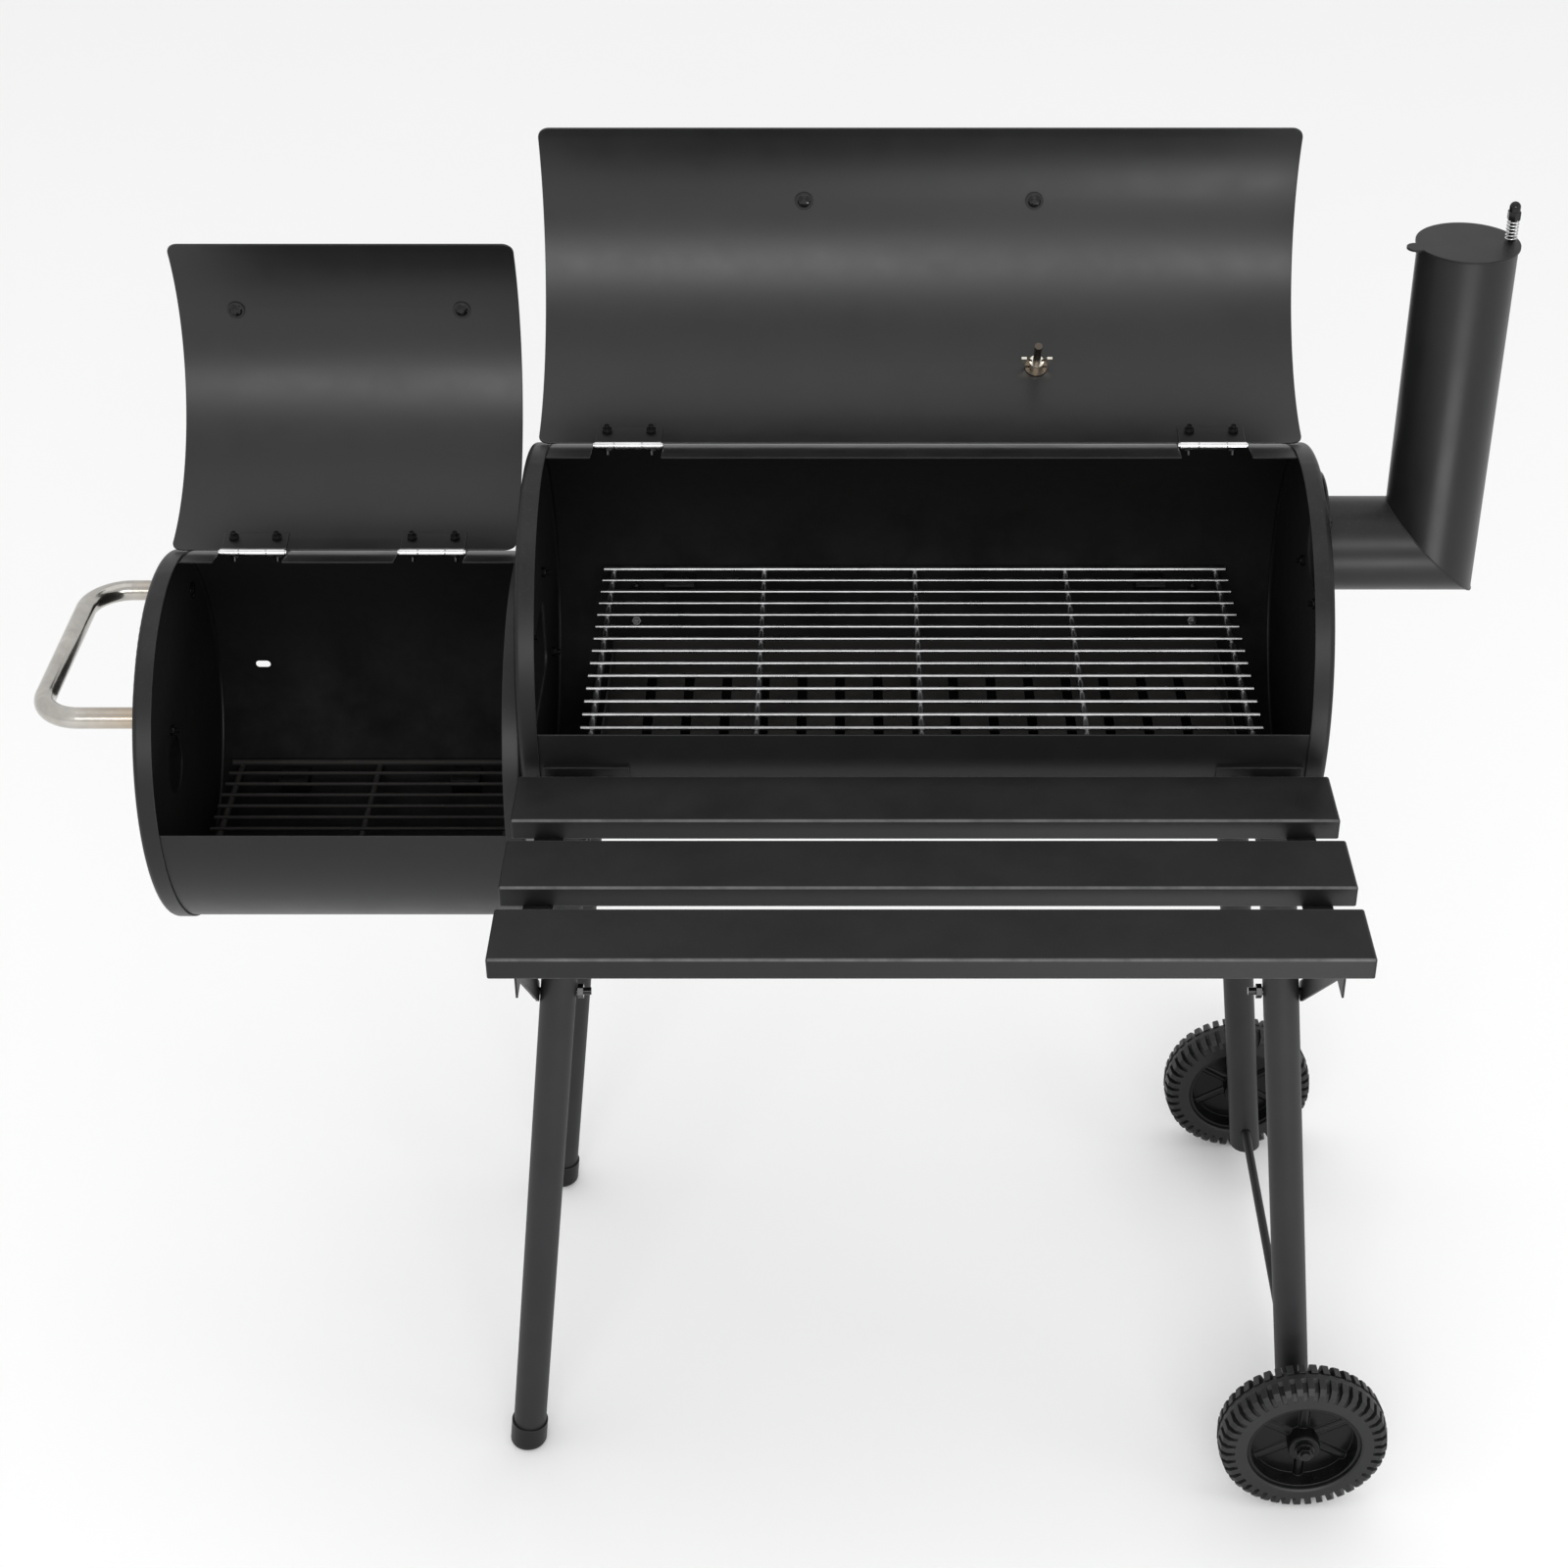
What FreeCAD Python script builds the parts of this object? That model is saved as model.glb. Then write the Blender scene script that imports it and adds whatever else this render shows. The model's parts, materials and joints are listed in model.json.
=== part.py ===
import FreeCAD, Part
import math
import os
from FreeCAD import Vector

# Offset smoker on two legs and two wheels, in millimetres, +Z up.
# While it is being built, X and Y are zero at the middle of the cooking chamber's axis, Z is zero
# on the ground, +X runs from the firebox to the chimney and +Y to the back. The last step moves the
# whole smoker so that the origin is at the middle of its bounding box, on the ground.
# Angles round a drum turn from +Y (back) up to +Z (top); 180 degrees is the front.

# Sheet steel and clearances
SHEET = 1.2
SHEET_GAP = 0.2
LID_GAP = 0.4
RUNNING_GAP = 0.05
SEAT_GAP = 0.1
WASHER_GAP = 0.35

# Cooking chamber
CHAMBER_LENGTH = 600.0
CHAMBER_RADIUS = 152.0
CHAMBER_AXIS_Z = 714.0
CHAMBER_HINGE_ANGLE = 73.8
CHAMBER_STRIP_ANGLE = 84.7
CHAMBER_LIP_ANGLE = 178.1
CHAMBER_LID_LENGTH = 588.0
CHAMBER_LID_TURN = 159.0
CHAMBER_HINGE_OFFSET = 224.5

# Firebox
FIREBOX_LENGTH = 292.6
FIREBOX_RADIUS = 147.0
FIREBOX_AXIS_Z = 625.5
FIREBOX_HINGE_ANGLE = 72.5
FIREBOX_STRIP_ANGLE = 81.6
FIREBOX_LIP_ANGLE = 180.2
FIREBOX_LID_LENGTH = 271.6
FIREBOX_LID_MID_X = -453.8
FIREBOX_LID_TURN = 156.7
FIREBOX_HINGE_OFFSET = 70.5

# End caps
CAP_RIM_WIDTH = 15.0
CAP_CORNER = 4.0

# Lids
LID_OVERLAP = 3.0
LID_CORNER = 9.0
LID_EDGE_SETBACK = 4.6

# Hinges
HINGE_WIDTH = 51.0
HINGE_MIDDLE_SHARE = 0.43
KNUCKLE_RADIUS = 3.0
KNUCKLE_GAP = 0.4
PIN_RADIUS = 1.6
LEAF_SHEET = 1.2
LEAF_REACH = 24.0
LEAF_ROOT = 2.2
NOTCH_SIDE_GAP = 1.5
HINGE_BOLT_OFFSET = 17.0
BODY_BOLT_SETBACK = 12.5
LID_BOLT_SETBACK = 16.5

# Fasteners
SCREW_RADIUS = 2.0
SCREW_HEAD_RADIUS = 4.0
SCREW_HEAD_HEIGHT = 1.8
NUT_FLATS = 7.0
NUT_HEIGHT = 3.0
HOLE_GAP = 0.25
SCREW_STUB = 3.5
BOLT_RADIUS = 3.0
BOLT_HEAD_RADIUS = 6.0
BOLT_HEAD_HEIGHT = 3.0
BOLT_NUT_FLATS = 10.0
BOLT_NUT_HEIGHT = 4.5
BOLT_STUB = 6.0

# Tube handles
HANDLE_RADIUS = 8.2
HANDLE_WALL = 1.2
HANDLE_PLUG = 14.0
LID_HANDLE_SPAN = 180.0
LID_HANDLE_STANDOFF = 52.0
LID_HANDLE_BEND = 24.0
LID_HANDLE_ARC = 217.0
SIDE_HANDLE_SPAN = 196.0
SIDE_HANDLE_STANDOFF = 78.0
SIDE_HANDLE_BEND = 32.0
SIDE_HANDLE_Z = 701.0

# Thermometer in the cooking lid
GAUGE_X = 92.0
GAUGE_ARC = 85.0
GAUGE_RADIUS = 28.0
GAUGE_DEPTH = 14.0
GAUGE_WALL = 1.5
GAUGE_BEZEL = 3.5
GAUGE_STANDOFF = 2.0
GAUGE_EDGE = 1.2
GAUGE_NECK_RADIUS = 7.0
GAUGE_NECK_LENGTH = 3.0
DIAL_RISE = 5.0
DIAL_SHEET = 1.0
DIAL_POST = 1.5
GLASS_SHEET = 2.0
GLASS_SETBACK = 3.0
GAUGE_STEM_RADIUS = 3.0
GAUGE_STEM_REACH = 34.0
GAUGE_STEM_INSET = 6.9
GAUGE_WASHER_RADIUS = 9.0
GAUGE_WASHER_SHEET = 1.2
WING_NUT_RADIUS = 5.5
WING_NUT_HEIGHT = 7.0
WING_ROOT = 3.5
WING_REACH = 12.0
WING_WIDTH = 4.0
WING_SHEET = 2.0

# Grates and the charcoal tray
GRATE_Z = 696.0
GRATE_LENGTH = 516.0
GRATE_DEPTH = 285.0
GRATE_WIRES = 16
WIRE_RADIUS = 1.6
FRAME_WIRE_RADIUS = 2.6
WIRE_WELD = 0.8
CROSS_WIRE_SPACING = 130.0
CROSS_WIRE_INSET = 8.0
TRAY_LENGTH = 500.0
TRAY_DEPTH = 216.0
TRAY_HEIGHT = 22.0
TRAY_BASE_Z = 626.0
TRAY_SLOT_COLUMNS = 15
TRAY_SLOT_ROWS = 3
TRAY_COLUMN_PITCH = 31.0
TRAY_ROW_PITCH = 66.0
TRAY_SLOT_WIDTH = 8.0
TRAY_SLOT_LENGTH = 48.0
FIRE_GRATE_Z = 532.0
FIRE_GRATE_LENGTH = 250.0
FIRE_GRATE_DEPTH = 200.0
FIRE_GRATE_WIRES = 13
REST_WIDTH = 24.0
REST_SHEET = 2.0
REST_REACH = 22.0
REST_DROP = 16.0
REST_WALL_GAP = 0.3
CHAMBER_REST_XS = (-195.0, 195.0)
FIREBOX_REST_XS = (-525.0, -380.0)

# Smoke passage and the bolts that join the two drums
PASSAGE_WIDTH = 104.0
PASSAGE_HEIGHT = 64.0
PASSAGE_Z = 692.0
PASSAGE_CORNER = 12.0
JOINT_BOLTS_YZ = [(-86.0, 650.0), (86.0, 650.0), (-51.0, 744.0), (51.0, 744.0)]

# Air vent in the firebox's left cap
VENT_PIVOT_Y = -25.5
VENT_PIVOT_Z = 644.0
VENT_DROP = 32.0
VENT_HOLE_RADIUS = 23.0
VENT_FLAP_RADIUS = 30.0
VENT_EAR_RADIUS = 9.0
VENT_SHEET = 1.5
TAB_LENGTH = 14.0
TAB_WIDTH = 14.0
TAB_OVERLAP = 6.0
TAB_CORNER = 4.0
TAB_FOLD_REACH = 9.0
TAB_FOLD_WIDTH = 10.0

# Hook slot in the firebox's back wall
SLOT_X = -552.3
SLOT_ANGLE = -8.6
SLOT_LENGTH = 12.5
SLOT_HEIGHT = 6.0

# Chimney
CHIMNEY_X = 385.0
CHIMNEY_Y = -19.0
CHIMNEY_Z = 808.5
CHIMNEY_RADIUS = 35.5
CHIMNEY_TOP_Z = 1049.0
CHIMNEY_FLANGE_RADIUS = 54.0
CHIMNEY_FLANGE_SHEET = 1.5
CHIMNEY_BOLT_OFFSET = 34.0
DAMPER_RADIUS = 37.0
DAMPER_PIVOT_OFFSET = 30.5
DAMPER_SHEET = 1.5
DAMPER_PIVOT_BACK = 2.5
DAMPER_TAB = 7.0
DAMPER_TAB_FRONT = 8.0
LUG_DROP = 4.0
LUG_SHEET = 2.0
LUG_WIDTH = 12.0
LUG_WALL_INSET = 0.6
SPRING_RADIUS = 3.9
SPRING_WIRE_RADIUS = 0.6
SPRING_LENGTH = 16.0
SPRING_TURNS = 6
ACORN_FLATS = 8.5
ACORN_HEX_HEIGHT = 6.0
ACORN_RADIUS = 4.0

# Front shelf
SLAT_LENGTH = 600.0
SLAT_DEPTH = 58.7
SLAT_SPACING = 83.0
SLAT_FRONT_Y = -386.8
SLAT_TOP_Z = 690.8
SLAT_LIP = 16.0
SLAT_EDGE = 2.0
ARM_INNER_X = 282.0
ARM_SHEET = 1.5
ARM_FLANGE = 20.0
ARM_FRONT_Y = -372.0
ARM_BACK_Y = -158.0
STRUT_WIDTH = 16.0
STRUT_SHEET = 2.0
STRUT_GAP = 1.0
STRUT_TOP_Y = -350.0
STRUT_FOOT_Z = 496.0
STUD_X = 271.0

# Legs, feet and wheels
LEG_RADIUS = 14.0
LEG_WALL = 1.5
LEG_Y = 170.0
LEG_FLOOR_X = 335.0
LEG_SPLAY = 0.11
LEG_TOP_Z = 672.0
WHEEL_LEG_BOTTOM_Z = 46.0
FOOT_RADIUS = 15.6
FOOT_HEIGHT = 26.0
FOOT_EDGE = 5.0
LEG_BOLT_Z = 660.0
BRACKET_INNER_REACH = 44.0
BRACKET_OUTER_REACH = 20.0
BRACKET_SHEET = 2.0
BRACKET_LOW_ANGLE = 30.0
BRACKET_HIGH_ANGLE = 9.0
BRACKET_SCREW_OFFSET = 30.0
BRACKET_SCREW_INSET = 5.0
CHEEK_DROP = 17.0
CHEEK_RISE = 11.0
AXLE_RADIUS = 4.0
AXLE_HALF_LENGTH = 257.0
SPACER_WALL = 3.0
SPACER_GAP = 0.5
AXLE_WASHER_RADIUS = 8.0
AXLE_WASHER_SHEET = 1.2
AXLE_WASHER_GAP = 0.4
AXLE_NUT_FLATS = 12.0
AXLE_NUT_HEIGHT = 5.0
WHEEL_RADIUS = 71.0
WHEEL_Y = 231.9
TYRE_WIDTH = 34.7
TYRE_BEAD_RADIUS = 48.0
TYRE_ROOT_RADIUS = 66.5
TYRE_RIDGE_RADIUS = 70.0
TYRE_SIDE_RADIUS = 57.0
TYRE_SHOULDER_RADIUS = 63.5
TYRE_SHOULDER_INSET = 5.0
RIDGE_HALF_WIDTH = 2.5
TREAD_LUGS = 44
LUG_SHARE = 0.54
LUG_INNER_RADIUS = 58.0
LUG_CORNER_RADIUS = 69.5
LUG_SIDE_RADIUS = 65.0
LUG_CORNER_INSET = 3.5
LUG_ROW_START = 3.2
RIM_HALF_WIDTH = 14.5
RIM_WALL = 3.0
WEB_HALF_WIDTH = 2.0
HUB_EDGE = 1.0
HUB_RADIUS = 13.5
HUB_HALF_LENGTH = 16.0
SPOKES = 6
SPOKE_RADIUS = 5.0

X = Vector(1, 0, 0)
Y = Vector(0, 1, 0)
Z = Vector(0, 0, 1)


def direction(angle):
    """Unit vector across a drum at an angle from +Y up to +Z."""
    turn = math.radians(angle)
    return Vector(0, math.cos(turn), math.sin(turn))


class Drum:
    """A barrel along X with end caps, an opening in front and a hinged lid."""

    def __init__(self, left, right, radius, axis_z, hinge_angle, strip_angle, lip_angle,
                 lid_left, lid_right, lid_turn, hinge_xs):
        self.left = left
        self.right = right
        self.radius = radius
        self.axis_z = axis_z
        self.hinge_angle = hinge_angle
        self.strip_angle = strip_angle
        self.lip_angle = lip_angle
        self.lid_left = lid_left
        self.lid_right = lid_right
        self.lid_turn = lid_turn
        self.hinge_xs = hinge_xs
        self.shell_outer = radius - SHEET - SHEET_GAP
        self.shell_inner = self.shell_outer - SHEET
        self.lid_inner = radius + LID_GAP
        self.lid_outer = self.lid_inner + SHEET

    def point(self, x, angle, radius):
        return Vector(x, 0, self.axis_z) + direction(angle) * radius

    def hinge(self):
        return self.point(0, self.hinge_angle, self.radius)

    def angle_after(self, arc):
        """Angle that lies an arc length in front of the hinge line."""
        return self.hinge_angle + math.degrees(arc / self.radius)

    def opened(self, shape):
        """Turn a lid piece from its closed place to the open rest pose."""
        turned = shape.copy()
        turned.rotate(self.hinge(), X, -self.lid_turn)
        return turned


CHAMBER = Drum(-CHAMBER_LENGTH / 2, CHAMBER_LENGTH / 2, CHAMBER_RADIUS, CHAMBER_AXIS_Z,
               CHAMBER_HINGE_ANGLE, CHAMBER_STRIP_ANGLE, CHAMBER_LIP_ANGLE,
               -CHAMBER_LID_LENGTH / 2, CHAMBER_LID_LENGTH / 2, CHAMBER_LID_TURN,
               [-CHAMBER_HINGE_OFFSET, CHAMBER_HINGE_OFFSET])
FIREBOX = Drum(CHAMBER.left - FIREBOX_LENGTH, CHAMBER.left, FIREBOX_RADIUS, FIREBOX_AXIS_Z,
               FIREBOX_HINGE_ANGLE, FIREBOX_STRIP_ANGLE, FIREBOX_LIP_ANGLE,
               FIREBOX_LID_MID_X - FIREBOX_LID_LENGTH / 2,
               FIREBOX_LID_MID_X + FIREBOX_LID_LENGTH / 2, FIREBOX_LID_TURN,
               [FIREBOX_LID_MID_X - FIREBOX_HINGE_OFFSET, FIREBOX_LID_MID_X + FIREBOX_HINGE_OFFSET])

PARTS = {}


# ---------------------------------------------------------------- general shapes

def cylinder(start, along, radius, length):
    return Part.makeCylinder(radius, length, start, along)


def box(low, high):
    size = high - low
    return Part.makeBox(size.x, size.y, size.z, low)


def polygon(points):
    return Part.Face(Part.makePolygon(points + points[:1]))


def fused(shapes):
    """One clean solid from overlapping shapes."""
    return shapes[0].multiFuse(shapes[1:]).removeSplitter()


def drilled(shape, holes):
    """Cut every hole in one operation."""
    return shape.cut(Part.makeCompound(holes)) if holes else shape


def arc_sheet(drum, inner, outer, start, end, x_left, x_right):
    """Curved sheet round a drum's axis, between two angles and two X positions."""
    middle = (start + end) / 2
    outer_arc = Part.Arc(*[drum.point(x_left, angle, outer) for angle in (start, middle, end)])
    inner_arc = Part.Arc(*[drum.point(x_left, angle, inner) for angle in (end, middle, start)])
    end_line = Part.LineSegment(drum.point(x_left, end, outer), drum.point(x_left, end, inner))
    start_line = Part.LineSegment(drum.point(x_left, start, inner), drum.point(x_left, start, outer))
    edges = [outer_arc.toShape(), end_line.toShape(), inner_arc.toShape(), start_line.toShape()]
    return Part.Face(Part.Wire(edges)).extrude(Vector(x_right - x_left, 0, 0))


def rounded_prism(centre, across, up, width, height, corner, along, length):
    """Rounded rectangle, pushed along a direction."""
    half_w = width / 2
    half_h = height / 2
    edges = []
    corners = [(1, 1), (-1, 1), (-1, -1), (1, -1)]
    for index, (sx, sy) in enumerate(corners):
        middle = centre + across * (sx * (half_w - corner)) + up * (sy * (half_h - corner))
        tips = [across * sx, (across * sx + up * sy) * math.sqrt(0.5), up * sy]
        if index % 2:
            tips.reverse()
        edges.append([middle + tip * corner for tip in tips])
    wire = []
    for index, arc in enumerate(edges):
        wire.append(Part.Arc(*arc).toShape())
        wire.append(Part.LineSegment(arc[2], edges[(index + 1) % 4][0]).toShape())
    return Part.Face(Part.Wire(wire)).extrude(along * length)


def hexagon(start, along, flats, height):
    """Hexagonal prism on an axis."""
    side = along.cross(Z) if abs(along.z) < 0.9 else along.cross(X)
    side.normalize()
    other = along.cross(side)
    radius = flats / math.sqrt(3)
    points = []
    for corner in range(6):
        turn = math.radians(60 * corner)
        points.append(start + side * (radius * math.cos(turn)) + other * (radius * math.sin(turn)))
    return polygon(points).extrude(along * height)


def revolved(points, axis_point, axis):
    """Solid of revolution from a closed outline."""
    return polygon(points).revolve(axis_point, axis, 360)


def domed_head(surface, outward, radius, height):
    """Low domed screw head, flat side on the surface."""
    side = outward.cross(Z) if abs(outward.z) < 0.9 else outward.cross(X)
    side.normalize()
    outline = [(0, 0), (1, 0), (1, 0.35), (0.78, 0.82), (0.4, 1), (0, 1)]
    points = [surface + side * (across * radius) + outward * (up * height) for across, up in outline]
    return revolved(points, surface, outward)


def fastener(surface, inward, grip, radius, head_radius, head_height, flats, nut_height, stub):
    """Screw and nut as one solid: the head on the surface, the nut beyond the grip."""
    head = domed_head(surface - inward * SEAT_GAP, -inward, head_radius, head_height)
    nut_start = grip + SEAT_GAP
    shank_length = nut_start + nut_height + stub
    shank = cylinder(surface - inward * (SEAT_GAP + head_height / 2), inward, radius,
                     shank_length + SEAT_GAP + head_height / 2)
    nut = hexagon(surface + inward * nut_start, inward, flats, nut_height)
    return fused([head, shank, nut])


def screw(surface, inward, grip):
    return fastener(surface, inward, grip, SCREW_RADIUS, SCREW_HEAD_RADIUS, SCREW_HEAD_HEIGHT,
                    NUT_FLATS, NUT_HEIGHT, SCREW_STUB)


def bolt(surface, inward, grip):
    return fastener(surface, inward, grip, BOLT_RADIUS, BOLT_HEAD_RADIUS, BOLT_HEAD_HEIGHT,
                    BOLT_NUT_FLATS, BOLT_NUT_HEIGHT, BOLT_STUB)


def hole(surface, inward, grip, radius):
    """Clearance hole through a stack of sheets."""
    return cylinder(surface - inward * 2, inward, radius + HOLE_GAP, grip + 4)


# ---------------------------------------------------------------- drums

def cap(drum, face_x, side):
    """Dished end cap whose rim wraps the end of the barrel; side is +1 on the right."""
    axis = Vector(0, 0, drum.axis_z)

    def at(depth, radius):
        return Vector(face_x - side * depth, 0, drum.axis_z + radius)

    def corner(start_depth, radius, end_depth, size):
        """Quarter round between the disc and the rim."""
        centre = at(CAP_CORNER, drum.radius - CAP_CORNER)
        middle = centre + Vector(side, 0, 1) * (size * math.sqrt(0.5))
        return Part.Arc(at(start_depth, drum.radius - CAP_CORNER), middle, at(end_depth, radius))

    rim_inner = drum.radius - SHEET
    outer_corner = corner(0, drum.radius, CAP_CORNER, CAP_CORNER)
    inner_corner = corner(SHEET, rim_inner, CAP_CORNER, CAP_CORNER - SHEET)
    curves = [
        Part.LineSegment(at(0, 0), at(0, drum.radius - CAP_CORNER)),
        outer_corner,
        Part.LineSegment(at(CAP_CORNER, drum.radius), at(CAP_RIM_WIDTH, drum.radius)),
        Part.LineSegment(at(CAP_RIM_WIDTH, drum.radius), at(CAP_RIM_WIDTH, rim_inner)),
        Part.LineSegment(at(CAP_RIM_WIDTH, rim_inner), at(CAP_CORNER, rim_inner)),
        inner_corner,
        Part.LineSegment(at(SHEET, drum.radius - CAP_CORNER), at(SHEET, 0)),
        Part.LineSegment(at(SHEET, 0), at(0, 0)),
    ]
    outline = Part.Wire(Part.sortEdges([curve.toShape() for curve in curves])[0])
    return Part.Face(outline).revolve(axis, X, 360)


def barrel_shell(drum):
    """Barrel sheet from the strip in front of the hinges, round the back, to the front lip."""
    shell = arc_sheet(drum, drum.shell_inner, drum.shell_outer, drum.lip_angle - 360,
                      drum.strip_angle, drum.left + CAP_CORNER, drum.right - CAP_CORNER)
    notch_start = drum.hinge_angle - math.degrees((KNUCKLE_RADIUS + KNUCKLE_GAP) / drum.radius)
    half_width = HINGE_WIDTH / 2 + NOTCH_SIDE_GAP
    notches = []
    for hinge_x in drum.hinge_xs:
        notches.append(arc_sheet(drum, drum.shell_inner - SHEET, drum.shell_outer + SHEET,
                                 notch_start, drum.strip_angle + 2,
                                 hinge_x - half_width, hinge_x + half_width))
    return drilled(shell, notches)


def closed_lid(drum):
    """Curved lid in its closed place, with its four corners rounded."""
    start = drum.angle_after(LID_EDGE_SETBACK)
    end = drum.lip_angle + math.degrees(LID_OVERLAP / drum.radius)
    lid = arc_sheet(drum, drum.lid_inner, drum.lid_outer, start, end, drum.lid_left, drum.lid_right)
    corners = [edge for edge in lid.Edges if edge.Length < 2 * SHEET]
    lid = lid.makeFillet(LID_CORNER, corners)
    notches = []
    for hinge_x in drum.hinge_xs:
        low = drum.point(hinge_x - HINGE_WIDTH / 2 - NOTCH_SIDE_GAP, drum.hinge_angle, 0)
        notches.append(cylinder(Vector(low.x, drum.hinge().y, drum.hinge().z), X,
                                KNUCKLE_RADIUS + KNUCKLE_GAP, HINGE_WIDTH + 2 * NOTCH_SIDE_GAP))
    return drilled(lid, notches)


def hinge_leaf(drum, hinge_x, forward):
    """Leaf with its knuckles: forward leaves carry the lid, the others sit on the barrel."""
    middle_half = HINGE_WIDTH * HINGE_MIDDLE_SHARE / 2
    outer_half = HINGE_WIDTH / 2
    if forward:
        outer = drum.lid_inner - SEAT_GAP
        knuckles = [(-middle_half + KNUCKLE_GAP, middle_half - KNUCKLE_GAP)]
    else:
        outer = drum.shell_outer + SEAT_GAP + LEAF_SHEET
        knuckles = [(-outer_half, -middle_half), (middle_half, outer_half)]
    way = 1 if forward else -1
    inner = outer - LEAF_SHEET
    clear = KNUCKLE_RADIUS + KNUCKLE_GAP

    def plate(start_arc, x_from, x_to):
        angles = sorted([drum.angle_after(way * start_arc), drum.angle_after(way * LEAF_REACH)])
        return arc_sheet(drum, inner, outer, angles[0], angles[1], hinge_x + x_from, hinge_x + x_to)

    pieces = [plate(clear, -outer_half, outer_half)]
    bores = []
    for x_from, x_to in knuckles:
        centre = drum.hinge() + X * (hinge_x + x_from)
        pieces.append(plate(LEAF_ROOT, x_from, x_to))
        pieces.append(cylinder(centre, X, KNUCKLE_RADIUS, x_to - x_from))
        bores.append(cylinder(centre - X, X, PIN_RADIUS + RUNNING_GAP, x_to - x_from + 2))
    return drilled(fused(pieces), bores)


def hinge_pin(drum, hinge_x):
    """Pin through the knuckles with a small head at each end."""
    start = drum.hinge() + X * (hinge_x - HINGE_WIDTH / 2 - SEAT_GAP)
    length = HINGE_WIDTH + 2 * SEAT_GAP
    shaft = cylinder(start, X, PIN_RADIUS, length)
    left_head = cylinder(start - X, X, PIN_RADIUS + 0.6, 1)
    right_head = cylinder(start + X * length, X, PIN_RADIUS + 0.6, 1)
    return fused([shaft, left_head, right_head])


def hinge_screw_places(drum, setback, surface_radius):
    """Point on the surface and inward direction of each hinge screw."""
    angle = drum.angle_after(setback)
    places = []
    for hinge_x in drum.hinge_xs:
        for offset in (-HINGE_BOLT_OFFSET, HINGE_BOLT_OFFSET):
            places.append((drum.point(hinge_x + offset, angle, surface_radius), -direction(angle)))
    return places


def u_handle(centre, outward, along, span, standoff, bend):
    """Tube handle: two legs stand out and a grip joins them; the leg ends are plugged."""
    def path(setback):
        half = span / 2
        start = centre + along * half + outward * setback
        leg_end = centre + along * half + outward * (standoff - bend)
        grip_start = centre + along * (half - bend) + outward * standoff
        bend_middle = (centre + along * (half - bend) + outward * (standoff - bend)
                       + (along + outward) * (bend * math.sqrt(0.5)))

        def mirrored(point):
            return point - along * (2 * (point - centre).dot(along))

        edges = [
            Part.LineSegment(start, leg_end),
            Part.Arc(leg_end, bend_middle, grip_start),
            Part.LineSegment(grip_start, mirrored(grip_start)),
            Part.Arc(mirrored(grip_start), mirrored(bend_middle), mirrored(leg_end)),
            Part.LineSegment(mirrored(leg_end), mirrored(start)),
        ]
        return Part.Wire([edge.toShape() for edge in edges]), start

    def swept(radius, setback):
        wire, start = path(setback)
        ring = Part.Wire(Part.Circle(start, outward, radius).toShape())
        return wire.makePipeShell([ring], True, True)

    bar = swept(HANDLE_RADIUS, 0)
    core = swept(HANDLE_RADIUS - HANDLE_WALL, HANDLE_PLUG)
    return bar.cut(core)


def handle_screws(centre, outward, along, span, sheet):
    """Screws that come through the sheet from inside into the handle's plugged ends."""
    screws = []
    for side in (-1, 1):
        end = centre + along * (side * span / 2)
        inside = end - outward * (sheet + WASHER_GAP)
        head = domed_head(inside, -outward, SCREW_HEAD_RADIUS + 1, SCREW_HEAD_HEIGHT + 0.6)
        washer = cylinder(inside, -outward, SCREW_HEAD_RADIUS + 3, 0.8)
        shank = cylinder(inside - outward * 0.5, outward, SCREW_RADIUS, sheet + HANDLE_PLUG - 4)
        screws.append(fused([head, washer, shank]))
    return screws


def handle_screw_holes(centre, outward, along, span):
    holes = []
    for side in (-1, 1):
        end = centre + along * (side * span / 2)
        holes.append(cylinder(end - outward * 5, outward, SCREW_RADIUS + HOLE_GAP, HANDLE_PLUG + 8))
    return holes


def lid_with_handle(drum, handle_name, screws_name, extra_holes):
    """Lid, its tube handle and the screws, all turned to the open pose."""
    angle = drum.angle_after(LID_HANDLE_ARC)
    middle_x = (drum.lid_left + drum.lid_right) / 2
    centre = drum.point(middle_x, angle, drum.lid_outer)
    outward = direction(angle)
    holes = handle_screw_holes(centre, outward, X, LID_HANDLE_SPAN)
    lid_holes = list(holes)
    for place, inward in hinge_screw_places(drum, LID_BOLT_SETBACK, drum.lid_outer):
        lid_holes.append(hole(place, inward, SHEET, SCREW_RADIUS))
    lid = drilled(closed_lid(drum), lid_holes + extra_holes)
    handle = u_handle(centre, outward, X, LID_HANDLE_SPAN, LID_HANDLE_STANDOFF, LID_HANDLE_BEND)
    PARTS[handle_name] = drum.opened(drilled(handle, holes))
    screws = handle_screws(centre, outward, X, LID_HANDLE_SPAN, SHEET)
    PARTS[screws_name] = drum.opened(Part.makeCompound(screws))
    return drum.opened(lid)


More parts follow.
